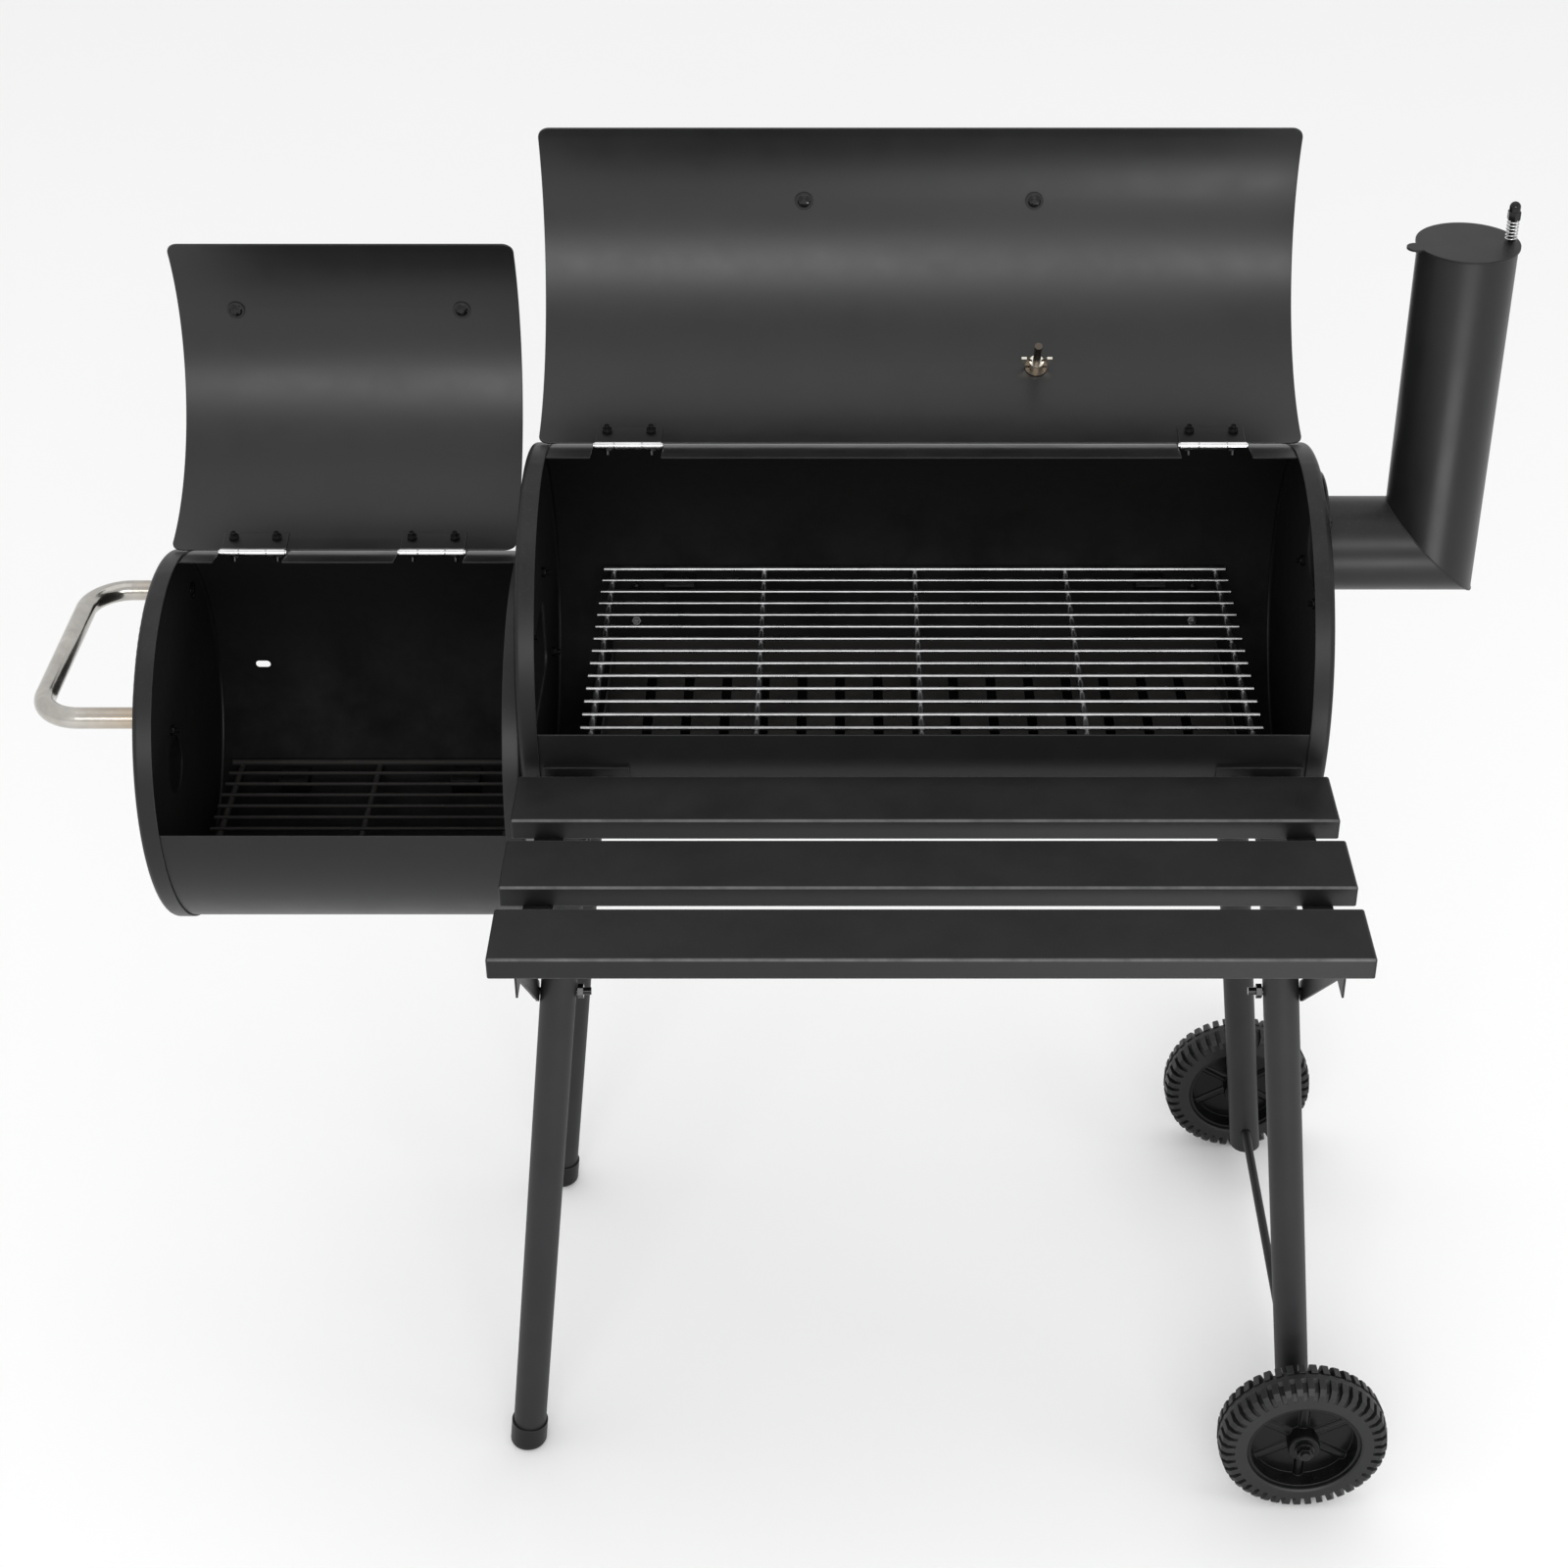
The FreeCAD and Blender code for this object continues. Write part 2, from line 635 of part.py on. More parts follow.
def hinges(drum, prefix):
    """Both leaves, the pins and the screws of one drum's pair of hinges."""
    lid_places = hinge_screw_places(drum, LID_BOLT_SETBACK, drum.lid_outer)
    body_surface = drum.shell_outer + SEAT_GAP + LEAF_SHEET
    body_places = hinge_screw_places(drum, -BODY_BOLT_SETBACK, body_surface)
    lid_grip = SHEET + SEAT_GAP + LEAF_SHEET
    lid_holes = [hole(place, inward, lid_grip, SCREW_RADIUS) for place, inward in lid_places]
    body_holes = [hole(place, inward, lid_grip, SCREW_RADIUS) for place, inward in body_places]
    lid_leaves = [drilled(hinge_leaf(drum, hinge_x, True), lid_holes) for hinge_x in drum.hinge_xs]
    body_leaves = [drilled(hinge_leaf(drum, hinge_x, False), body_holes) for hinge_x in drum.hinge_xs]
    lid_screws = [screw(place, inward, lid_grip) for place, inward in lid_places]
    body_screws = [screw(place, inward, lid_grip) for place, inward in body_places]
    PARTS[prefix + "_hinge_lid_leaves"] = drum.opened(Part.makeCompound(lid_leaves))
    PARTS[prefix + "_hinge_lid_screws"] = drum.opened(Part.makeCompound(lid_screws))
    pins = [hinge_pin(drum, hinge_x) for hinge_x in drum.hinge_xs]
    return body_leaves, body_screws, pins, body_holes


# ---------------------------------------------------------------- thermometer

def thermometer():
    """Dial thermometer outside the cooking lid, with its stem, washer and wing nut inside."""
    drum = CHAMBER
    angle = drum.angle_after(GAUGE_ARC)
    outward = direction(angle)
    seat = drum.point(GAUGE_X, angle, drum.lid_outer)
    foot = seat + outward * GAUGE_STANDOFF
    case = cylinder(foot, outward, GAUGE_RADIUS, GAUGE_DEPTH)
    front = foot + outward * GAUGE_DEPTH
    rims = [edge for edge in case.Edges if edge.BoundBox.DiagonalLength > GAUGE_RADIUS]
    case = case.makeFillet(GAUGE_EDGE, rims)
    window = cylinder(foot + outward * GAUGE_WALL, outward, GAUGE_RADIUS - GAUGE_BEZEL, GAUGE_DEPTH)
    neck = cylinder(seat + outward * SEAT_GAP, outward, GAUGE_NECK_RADIUS, GAUGE_NECK_LENGTH)
    stem_hole = cylinder(seat, outward, GAUGE_STEM_RADIUS + HOLE_GAP, 2 * GAUGE_WALL + 2)
    PARTS["thermometer_case"] = drum.opened(fused([case.cut(window), neck]).cut(stem_hole))
    dial_seat = foot + outward * (GAUGE_WALL + DIAL_RISE)
    dial = cylinder(dial_seat, outward, GAUGE_RADIUS - GAUGE_BEZEL - SHEET_GAP, DIAL_SHEET)
    post = cylinder(dial_seat + outward * DIAL_SHEET, outward, DIAL_POST, DIAL_POST)
    PARTS["thermometer_dial"] = drum.opened(fused([dial, post]))
    glass = cylinder(front - outward * GLASS_SETBACK, outward, GAUGE_RADIUS - GAUGE_BEZEL - SHEET_GAP,
                     GLASS_SHEET)
    PARTS["thermometer_glass"] = drum.opened(glass)
    reach = GAUGE_STEM_REACH
    stem = cylinder(seat - outward * reach, outward, GAUGE_STEM_RADIUS, reach + GAUGE_WALL + GAUGE_STEM_INSET)
    washer_face = seat - outward * (SHEET + WASHER_GAP)
    washer = cylinder(washer_face - outward * GAUGE_WASHER_SHEET, outward, GAUGE_WASHER_RADIUS,
                      GAUGE_WASHER_SHEET)
    PARTS["thermometer_stem"] = drum.opened(fused([stem, washer]))
    nut_base = washer_face - outward * (GAUGE_WASHER_SHEET + SEAT_GAP)
    depth = direction(angle + 90) * (WING_SHEET / 2)
    wings = []
    for side in (-1, 1):
        root = nut_base + X * (side * WING_ROOT)
        tip = nut_base + X * (side * WING_REACH) - outward * WING_REACH
        width = X * (side * WING_WIDTH)
        outline = [root - outward * 1, root + width - outward * 1.5, tip + outward * WING_WIDTH, tip,
                   tip - width, root - outward * WING_NUT_HEIGHT]
        wings.append(polygon([point - depth for point in outline]).extrude(depth * 2))
    body = cylinder(nut_base - outward * WING_NUT_HEIGHT, outward, WING_NUT_RADIUS, WING_NUT_HEIGHT)
    bore = cylinder(nut_base - outward * (WING_NUT_HEIGHT + 1), outward, GAUGE_STEM_RADIUS + RUNNING_GAP,
                    WING_NUT_HEIGHT + 2)
    PARTS["thermometer_wing_nut"] = drum.opened(fused([body] + wings).cut(bore))
    return cylinder(seat - outward * 5, outward, GAUGE_STEM_RADIUS + HOLE_GAP, 8)


# ---------------------------------------------------------------- grates and tray

def wire_grate(middle_x, z, length, depth, wires):
    """Long wires on a wire frame with cross wires beneath."""
    left = middle_x - length / 2
    front = -depth / 2
    pitch = depth / (wires - 1)
    cross_z = z - WIRE_RADIUS - FRAME_WIRE_RADIUS + WIRE_WELD
    pieces = []
    for index in range(wires):
        radius = FRAME_WIRE_RADIUS if index in (0, wires - 1) else WIRE_RADIUS
        pieces.append(cylinder(Vector(left, front + index * pitch, z), X, radius, length))
    cross_count = max(3, round(length / CROSS_WIRE_SPACING) + 1)
    cross_span = length - 2 * CROSS_WIRE_INSET
    for index in range(cross_count):
        x = left + CROSS_WIRE_INSET + index * cross_span / (cross_count - 1)
        pieces.append(cylinder(Vector(x, front - 1, cross_z), Y, FRAME_WIRE_RADIUS, depth + 2))
    return fused(pieces)


def charcoal_tray():
    """Shallow pan with rows of air slots."""
    half_l = TRAY_LENGTH / 2
    half_d = TRAY_DEPTH / 2
    pan = box(Vector(-half_l, -half_d, TRAY_BASE_Z), Vector(half_l, half_d, TRAY_BASE_Z + TRAY_HEIGHT))
    hollow = box(Vector(-half_l + SHEET, -half_d + SHEET, TRAY_BASE_Z + SHEET),
                 Vector(half_l - SHEET, half_d - SHEET, TRAY_BASE_Z + TRAY_HEIGHT + 1))
    slots = []
    reach = Vector(TRAY_SLOT_WIDTH / 2, TRAY_SLOT_LENGTH / 2, 2 * SHEET)
    for column in range(TRAY_SLOT_COLUMNS):
        for row in range(TRAY_SLOT_ROWS):
            x = (column - (TRAY_SLOT_COLUMNS - 1) / 2) * TRAY_COLUMN_PITCH
            y = (row - (TRAY_SLOT_ROWS - 1) / 2) * TRAY_ROW_PITCH
            middle = Vector(x, y, TRAY_BASE_Z)
            slots.append(box(middle - reach, middle + reach))
    return drilled(pan, [hollow] + slots)


def rest_bracket(drum, x, side, seat_z):
    """Folded bracket on the barrel wall that a grate or tray lies on; side is +1 at the back."""
    def wall_y(z):
        return math.sqrt(drum.shell_inner ** 2 - (z - drum.axis_z) ** 2) - REST_WALL_GAP

    upper_y = wall_y(seat_z - REST_SHEET)
    lower_y = wall_y(seat_z - REST_DROP)
    inner_y = upper_y - REST_REACH
    outline = [(upper_y, seat_z), (inner_y, seat_z), (inner_y, seat_z - REST_SHEET),
               (lower_y - 2 * REST_SHEET, seat_z - REST_SHEET), (lower_y - REST_SHEET, seat_z - REST_DROP),
               (lower_y, seat_z - REST_DROP), (upper_y, seat_z - REST_SHEET)]
    points = [Vector(x - REST_WIDTH / 2, side * y, z) for y, z in outline]
    return polygon(points).extrude(X * REST_WIDTH)


def rest_brackets():
    rests = []
    seat_drop = 2 * FRAME_WIRE_RADIUS + WIRE_RADIUS - WIRE_WELD + SEAT_GAP
    for side in (-1, 1):
        for x in CHAMBER_REST_XS:
            rests.append(rest_bracket(CHAMBER, x, side, GRATE_Z - seat_drop))
            rests.append(rest_bracket(CHAMBER, x, side, TRAY_BASE_Z - SEAT_GAP))
        for x in FIREBOX_REST_XS:
            rests.append(rest_bracket(FIREBOX, x, side, FIRE_GRATE_Z - seat_drop))
    return Part.makeCompound(rests)


# ---------------------------------------------------------------- chimney, damper and vent

def chimney():
    """Mitred elbow pipe with its flange and the lug for the damper bolt."""
    start = CHAMBER.right

    def past_mitre():
        """Half space above and to the right of the mitre plane."""
        size = 600.0
        corner = Vector(CHIMNEY_X, CHIMNEY_Y - size / 2, CHIMNEY_Z)
        points = [corner + Vector(-size, 0, size), corner + Vector(size, 0, -size),
                  corner + Vector(size, 0, size)]
        return polygon(points).extrude(Y * size)

    def elbow(radius, start_x, top_z):
        level = cylinder(Vector(start_x, CHIMNEY_Y, CHIMNEY_Z), X, radius,
                         CHIMNEY_X - start_x + CHIMNEY_RADIUS + 1)
        upright = cylinder(Vector(CHIMNEY_X, CHIMNEY_Y, CHIMNEY_Z - CHIMNEY_RADIUS - 1), Z, radius,
                           top_z - CHIMNEY_Z + CHIMNEY_RADIUS + 1)
        return fused([level.cut(past_mitre()), upright.common(past_mitre())])

    outer = elbow(CHIMNEY_RADIUS, start, CHIMNEY_TOP_Z)
    inner = elbow(CHIMNEY_RADIUS - SHEET, start - 1, CHIMNEY_TOP_Z + 1)
    centre = Vector(start, CHIMNEY_Y, CHIMNEY_Z)
    flange = cylinder(centre, X, CHIMNEY_FLANGE_RADIUS, CHIMNEY_FLANGE_SHEET)
    lug_top = CHIMNEY_TOP_Z - LUG_DROP
    lug_reach = CHIMNEY_RADIUS - LUG_WALL_INSET
    half = LUG_WIDTH / 2
    pivot = damper_pivot()
    lug = box(Vector(pivot.x - half, pivot.y - half, lug_top - LUG_SHEET),
              Vector(CHIMNEY_X + lug_reach, pivot.y + half, lug_top))
    lug_hole = cylinder(Vector(pivot.x, pivot.y, lug_top - 2 * LUG_SHEET), Z, SCREW_RADIUS + HOLE_GAP,
                        3 * LUG_SHEET)
    pipe = fused([outer, flange]).cut(inner)
    lug = lug.common(cylinder(Vector(CHIMNEY_X, CHIMNEY_Y, lug_top - 2 * LUG_SHEET), Z, lug_reach,
                              3 * LUG_SHEET))
    pipe = fused([pipe, lug])
    return drilled(pipe, [lug_hole] + chimney_bolt_holes())


def damper_pivot():
    return Vector(CHIMNEY_X + DAMPER_PIVOT_OFFSET, CHIMNEY_Y + DAMPER_PIVOT_BACK, CHIMNEY_TOP_Z)


def chimney_bolt_places():
    places = []
    for dy in (-CHIMNEY_BOLT_OFFSET, CHIMNEY_BOLT_OFFSET):
        for dz in (-CHIMNEY_BOLT_OFFSET, CHIMNEY_BOLT_OFFSET):
            places.append(Vector(CHAMBER.right + CHIMNEY_FLANGE_SHEET, CHIMNEY_Y + dy, CHIMNEY_Z + dz))
    return places


def chimney_bolt_holes():
    grip = CHIMNEY_FLANGE_SHEET + SHEET
    return [hole(place, -X, grip, SCREW_RADIUS) for place in chimney_bolt_places()]


def damper():
    """Damper disc with its thumb tab, and the sprung bolt that it swings on."""
    pivot = damper_pivot()
    base = Vector(CHIMNEY_X, CHIMNEY_Y, CHIMNEY_TOP_Z + SEAT_GAP)
    disc = cylinder(base, Z, DAMPER_RADIUS, DAMPER_SHEET)
    tab_y = CHIMNEY_Y - DAMPER_TAB_FRONT
    tab = cylinder(Vector(CHIMNEY_X - DAMPER_RADIUS - 1, tab_y, base.z), Z, DAMPER_TAB, DAMPER_SHEET)
    bore = cylinder(pivot - Z, Z, SCREW_RADIUS + RUNNING_GAP, 5)
    PARTS["damper_disc"] = fused([disc, tab]).cut(bore)
    spring_foot = CHIMNEY_TOP_Z + SEAT_GAP + DAMPER_SHEET + SHEET_GAP
    spring_top = spring_foot + SPRING_LENGTH
    lug_foot = CHIMNEY_TOP_Z - LUG_DROP - LUG_SHEET
    shaft_foot = lug_foot - NUT_HEIGHT - SCREW_STUB
    shaft = cylinder(Vector(pivot.x, pivot.y, shaft_foot), Z, SCREW_RADIUS, spring_top + 4 - shaft_foot)
    lock_nut = hexagon(Vector(pivot.x, pivot.y, lug_foot - SEAT_GAP - NUT_HEIGHT), Z, NUT_FLATS, NUT_HEIGHT)
    PARTS["damper_bolt"] = fused([shaft, lock_nut])
    hexed = hexagon(Vector(pivot.x, pivot.y, spring_top + SHEET_GAP), Z, ACORN_FLATS, ACORN_HEX_HEIGHT)
    dome_foot = Vector(pivot.x, pivot.y, spring_top + SHEET_GAP + ACORN_HEX_HEIGHT - 1)
    dome_side = cylinder(dome_foot, Z, ACORN_RADIUS, 4)
    dome = Part.makeSphere(ACORN_RADIUS, dome_foot + Z * 4)
    bore = cylinder(Vector(pivot.x, pivot.y, spring_top - 1), Z, SCREW_RADIUS + RUNNING_GAP, 5.5)
    PARTS["damper_acorn_nut"] = fused([hexed, dome_side, dome]).cut(bore)
    height = SPRING_LENGTH - 2 * SPRING_WIRE_RADIUS
    helix = Part.makeHelix(height / SPRING_TURNS, height, SPRING_RADIUS)
    ring = Part.Wire(Part.Circle(Vector(SPRING_RADIUS, 0, 0), Y, SPRING_WIRE_RADIUS).toShape())
    coil = Part.Wire(helix.Edges).makePipeShell([ring], True, True)
    coil.translate(Vector(pivot.x, pivot.y, spring_foot + SPRING_WIRE_RADIUS))
    PARTS["damper_spring"] = coil


def air_vent():
    """Swinging flap over the air hole in the firebox's left cap, with its pivot bolt."""
    face = FIREBOX.left
    outer = face - SEAT_GAP
    pivot = Vector(outer, VENT_PIVOT_Y, VENT_PIVOT_Z)
    centre = pivot - Z * VENT_DROP
    disc = cylinder(centre, -X, VENT_FLAP_RADIUS, VENT_SHEET)
    ear = cylinder(pivot, -X, VENT_EAR_RADIUS, VENT_SHEET)
    neck = box(Vector(outer - VENT_SHEET, VENT_PIVOT_Y - VENT_EAR_RADIUS, centre.z),
               Vector(outer, VENT_PIVOT_Y + VENT_EAR_RADIUS, pivot.z))
    tab_low = centre.z - VENT_FLAP_RADIUS - TAB_LENGTH + TAB_OVERLAP
    tab = rounded_prism(Vector(outer, VENT_PIVOT_Y, tab_low + TAB_LENGTH / 2), Y, Z, TAB_WIDTH,
                        TAB_LENGTH, TAB_CORNER, -X, VENT_SHEET)
    fold = box(Vector(outer - TAB_FOLD_REACH, VENT_PIVOT_Y - TAB_FOLD_WIDTH / 2, tab_low),
               Vector(outer, VENT_PIVOT_Y + TAB_FOLD_WIDTH / 2, tab_low + VENT_SHEET))
    bore = cylinder(pivot + X * 5, -X, SCREW_RADIUS + RUNNING_GAP, 12)
    PARTS["air_vent_flap"] = fused([disc, ear, neck, tab, fold]).cut(bore)
    surface = Vector(outer - VENT_SHEET - SEAT_GAP, VENT_PIVOT_Y, VENT_PIVOT_Z)
    PARTS["air_vent_bolt"] = screw(surface, X, VENT_SHEET + 2 * SEAT_GAP + SHEET)
    air_hole = cylinder(Vector(face - 2, VENT_PIVOT_Y, centre.z), X, VENT_HOLE_RADIUS, 6)
    pivot_hole = cylinder(Vector(face - 2, VENT_PIVOT_Y, VENT_PIVOT_Z), X, SCREW_RADIUS + HOLE_GAP, 6)
    return [air_hole, pivot_hole]


# ---------------------------------------------------------------- shelf, legs and wheels

def leg_x(z):
    return LEG_FLOOR_X - LEG_SPLAY * z


def leg(side_x, side_y, bottom_z):
    """Splayed leg tube, cut level at both ends."""
    low = Vector(side_x * leg_x(bottom_z - 20), side_y * LEG_Y, bottom_z - 20)
    high = Vector(side_x * leg_x(LEG_TOP_Z + 20), side_y * LEG_Y, LEG_TOP_Z + 20)
    run = high - low
    tube = cylinder(low, run, LEG_RADIUS, run.Length)
    bore = cylinder(low, run, LEG_RADIUS - LEG_WALL, run.Length)
    size = 500.0
    keep = box(Vector(-size, -size, bottom_z), Vector(size, size, LEG_TOP_Z))
    return tube.cut(bore).common(keep)


def foot_cap(side_x, side_y):
    """Plastic cup on the bottom of a leg, level where it meets the ground."""
    low = Vector(side_x * leg_x(-20), side_y * LEG_Y, -20)
    high = Vector(side_x * leg_x(FOOT_HEIGHT), side_y * LEG_Y, FOOT_HEIGHT)
    run = high - low
    body = cylinder(low, run, FOOT_RADIUS, run.Length)
    body = body.common(box(Vector(-500, -500, 0), Vector(500, 500, FOOT_HEIGHT + 5)))
    sole = [edge for edge in body.Edges if edge.BoundBox.ZMax < 0.01 and edge.Length > FOOT_RADIUS]
    body = body.makeFillet(FOOT_EDGE, sole)
    cup = cylinder(low, run, LEG_RADIUS + SHEET_GAP, 2 * run.Length)
    level = box(Vector(-500, -500, -1), Vector(500, 500, FOOT_EDGE + 1))
    return body.cut(cup.cut(level))


def leg_bracket(side_x, side_y):
    """Saddle on the barrel wall with two cheeks that hold the top of a leg."""
    middle_x = side_x * leg_x(LEG_BOLT_Z)
    base = 180 if side_y < 0 else 0
    turn = 1 if side_y < 0 else -1
    angles = sorted([base + turn * BRACKET_HIGH_ANGLE, base + turn * BRACKET_LOW_ANGLE])
    inner = CHAMBER.shell_outer + SEAT_GAP
    xs = sorted([middle_x - side_x * BRACKET_INNER_REACH, middle_x + side_x * BRACKET_OUTER_REACH])
    saddle = arc_sheet(CHAMBER, inner, inner + BRACKET_SHEET, angles[0], angles[1], xs[0], xs[1])
    cheeks = []
    for way in (-1, 1):
        near = LEG_RADIUS + 0.4
        xs = sorted([middle_x + way * near, middle_x + way * (near + BRACKET_SHEET)])
        ys = sorted([side_y * 130, side_y * (LEG_Y + 10)])
        cheek = box(Vector(xs[0], ys[0], LEG_BOLT_Z - CHEEK_DROP),
                    Vector(xs[1], ys[1], LEG_BOLT_Z + CHEEK_RISE))
        cheek.rotate(Vector(middle_x, 0, LEG_BOLT_Z), Y, -side_x * math.degrees(math.atan(LEG_SPLAY)))
        cheeks.append(cheek.cut(cylinder(Vector(-400, 0, CHAMBER.axis_z), X, inner + 1, 800)))
    return fused([saddle] + cheeks)


def saddle_screw_places(side_x, side_y):
    """Two screws beside the leg that hold its bracket to the barrel."""
    base = 180 if side_y < 0 else 0
    turn = 1 if side_y < 0 else -1
    surface = CHAMBER.shell_outer + SEAT_GAP + BRACKET_SHEET
    x = side_x * (leg_x(LEG_BOLT_Z) - BRACKET_SCREW_OFFSET)
    places = []
    for drop in (BRACKET_HIGH_ANGLE + BRACKET_SCREW_INSET, BRACKET_LOW_ANGLE - BRACKET_SCREW_INSET):
        angle = base + turn * drop
        places.append((CHAMBER.point(x, angle, surface), -direction(angle)))
    return places


def slat(front_y):
    """Shelf slat folded down on all four sides."""
    half = SLAT_LENGTH / 2
    solid = box(Vector(-half, front_y, SLAT_TOP_Z - SLAT_LIP), Vector(half, front_y + SLAT_DEPTH, SLAT_TOP_Z))
    top = [edge for edge in solid.Edges if edge.BoundBox.ZMin > SLAT_TOP_Z - 0.01]
    upright = [edge for edge in solid.Edges if edge.BoundBox.ZLength > SLAT_LIP - 0.01]
    solid = solid.makeFillet(SLAT_EDGE, top + upright)
    hollow = box(Vector(-half + SHEET, front_y + SHEET, SLAT_TOP_Z - SLAT_LIP - 1),
                 Vector(half - SHEET, front_y + SLAT_DEPTH - SHEET, SLAT_TOP_Z - SHEET))
    corners = [edge for edge in hollow.Edges if edge.BoundBox.ZLength > SLAT_LIP - 2]
    hollow = hollow.makeFillet(SLAT_EDGE - SHEET, corners)
    return solid.cut(hollow)


def slat_studs(front_y):
    """Welded stud and nut under each end of a slat."""
    studs = []
    flange_low = SLAT_TOP_Z - SLAT_LIP - ARM_SHEET
    for side in (-1, 1):
        top = Vector(side * STUD_X, front_y + SLAT_DEPTH / 2, SLAT_TOP_Z - SHEET)
        shaft = cylinder(top, -Z, SCREW_RADIUS, top.z - flange_low + NUT_HEIGHT + 2)
        nut = hexagon(Vector(top.x, top.y, flange_low - SEAT_GAP), -Z, NUT_FLATS, NUT_HEIGHT)
        studs.append(fused([shaft, nut]))
    return studs


def shelf_arm(side, holes):
    """Angle iron from the leg to the shelf's front, under the slats."""
    top = SLAT_TOP_Z - SLAT_LIP
    web_xs = sorted([side * ARM_INNER_X, side * (ARM_INNER_X + ARM_SHEET)])
    flange_xs = sorted([side * (ARM_INNER_X + ARM_SHEET), side * (ARM_INNER_X - ARM_FLANGE)])
    web = box(Vector(web_xs[0], ARM_FRONT_Y, top - ARM_FLANGE - 8), Vector(web_xs[1], ARM_BACK_Y, top))
    flange = box(Vector(flange_xs[0], ARM_FRONT_Y, top - ARM_SHEET), Vector(flange_xs[1], ARM_BACK_Y, top))
    return drilled(fused([web, flange]), holes)


def flat_bar(start, end, width, thickness, outward):
    """Flat bar with round ends, its thickness growing outward from the two points."""
    run = (end - start).normalize()
    normal = outward - run * outward.dot(run)
    normal.normalize()
    across = run.cross(normal) * (width / 2)
    reach = run * (width / 2)
    edges = [
        Part.LineSegment(start + across, end + across),
        Part.Arc(end + across, end + reach, end - across),
        Part.LineSegment(end - across, start - across),
        Part.Arc(start - across, start - reach, start + across),
    ]
    face = Part.Face(Part.Wire([edge.toShape() for edge in edges]))
    return face.extrude(normal * thickness)


def tyre(middle_y):
    """Tyre with a centre ridge and two staggered rows of lugs."""
    axle = Vector(leg_x(WHEEL_RADIUS), 0, WHEEL_RADIUS)
    half = TYRE_WIDTH / 2

    def ring(profile):
        points = [axle + Vector(0, y, r) for y, r in profile]
        return revolved(points, axle, Y)

    def both_sides(profile):
        return profile + [(-y, r) for y, r in reversed(profile)]

    ridge_foot = RIDGE_HALF_WIDTH + 1.5
    core = ring(both_sides([(-half + 1, TYRE_BEAD_RADIUS), (-half, TYRE_BEAD_RADIUS + 2),
                            (-half, TYRE_SIDE_RADIUS), (-half + TYRE_SHOULDER_INSET, TYRE_SHOULDER_RADIUS),
                            (-ridge_foot, TYRE_ROOT_RADIUS), (-RIDGE_HALF_WIDTH, TYRE_RIDGE_RADIUS)]))
    envelope = ring(both_sides([(-half, LUG_INNER_RADIUS - LUG_CORNER_INSET), (-half, LUG_SIDE_RADIUS),
                                (-half + LUG_CORNER_INSET, LUG_CORNER_RADIUS), (-ridge_foot, WHEEL_RADIUS)]))

    def star(phase, y_from, y_to):
        """Toothed disc: the teeth are the lugs."""
        half_lug = LUG_SHARE / 2
        tip = WHEEL_RADIUS + 4
        corners = [(-half_lug, LUG_INNER_RADIUS), (-half_lug, tip),
                   (half_lug, tip), (half_lug, LUG_INNER_RADIUS)]
        points = []
        for lug in range(TREAD_LUGS):
            for offset, radius in corners:
                turn = math.radians(360 * (lug + phase + offset) / TREAD_LUGS)
                points.append(axle + Vector(radius * math.sin(turn), y_from, -radius * math.cos(turn)))
        return polygon(points).extrude(Y * (y_to - y_from))

    lugs_front = star(0.0, -half, -LUG_ROW_START).common(envelope)
    lugs_back = star(0.5, LUG_ROW_START, half).common(envelope)
    whole = core.multiFuse([lugs_front, lugs_back])
    whole.translate(Y * middle_y)
    return whole


def wheel_rim(middle_y):
    """Moulded wheel centre: outer ring, web, round spokes and a long hub."""
    axle = Vector(leg_x(WHEEL_RADIUS), 0, WHEEL_RADIUS)
    outer = TYRE_BEAD_RADIUS - SHEET_GAP
    half_profile = [(-HUB_HALF_LENGTH, 0.5), (-HUB_HALF_LENGTH, HUB_RADIUS - HUB_EDGE),
                    (-HUB_HALF_LENGTH + 2 * HUB_EDGE, HUB_RADIUS), (-WEB_HALF_WIDTH, HUB_RADIUS),
                    (-WEB_HALF_WIDTH, outer - RIM_WALL - 2), (-RIM_HALF_WIDTH, outer - RIM_WALL),
                    (-RIM_HALF_WIDTH, outer)]
    profile = half_profile + [(-y, r) for y, r in reversed(half_profile)]
    body = revolved([axle + Vector(0, y, r) for y, r in profile], axle, Y)
    spokes = []
    for index in range(SPOKES):
        turn = math.radians(360 * index / SPOKES)
        outward = Vector(math.sin(turn), 0, math.cos(turn))
        root = axle + outward * (HUB_RADIUS - 2)
        spokes.append(cylinder(root, outward, SPOKE_RADIUS, outer - HUB_RADIUS - 0.5))
    bore = cylinder(axle - Y * TYRE_WIDTH, Y, AXLE_RADIUS + RUNNING_GAP, 2 * TYRE_WIDTH)
    whole = fused([body] + spokes).cut(bore)
    whole.translate(Y * middle_y)
    return whole


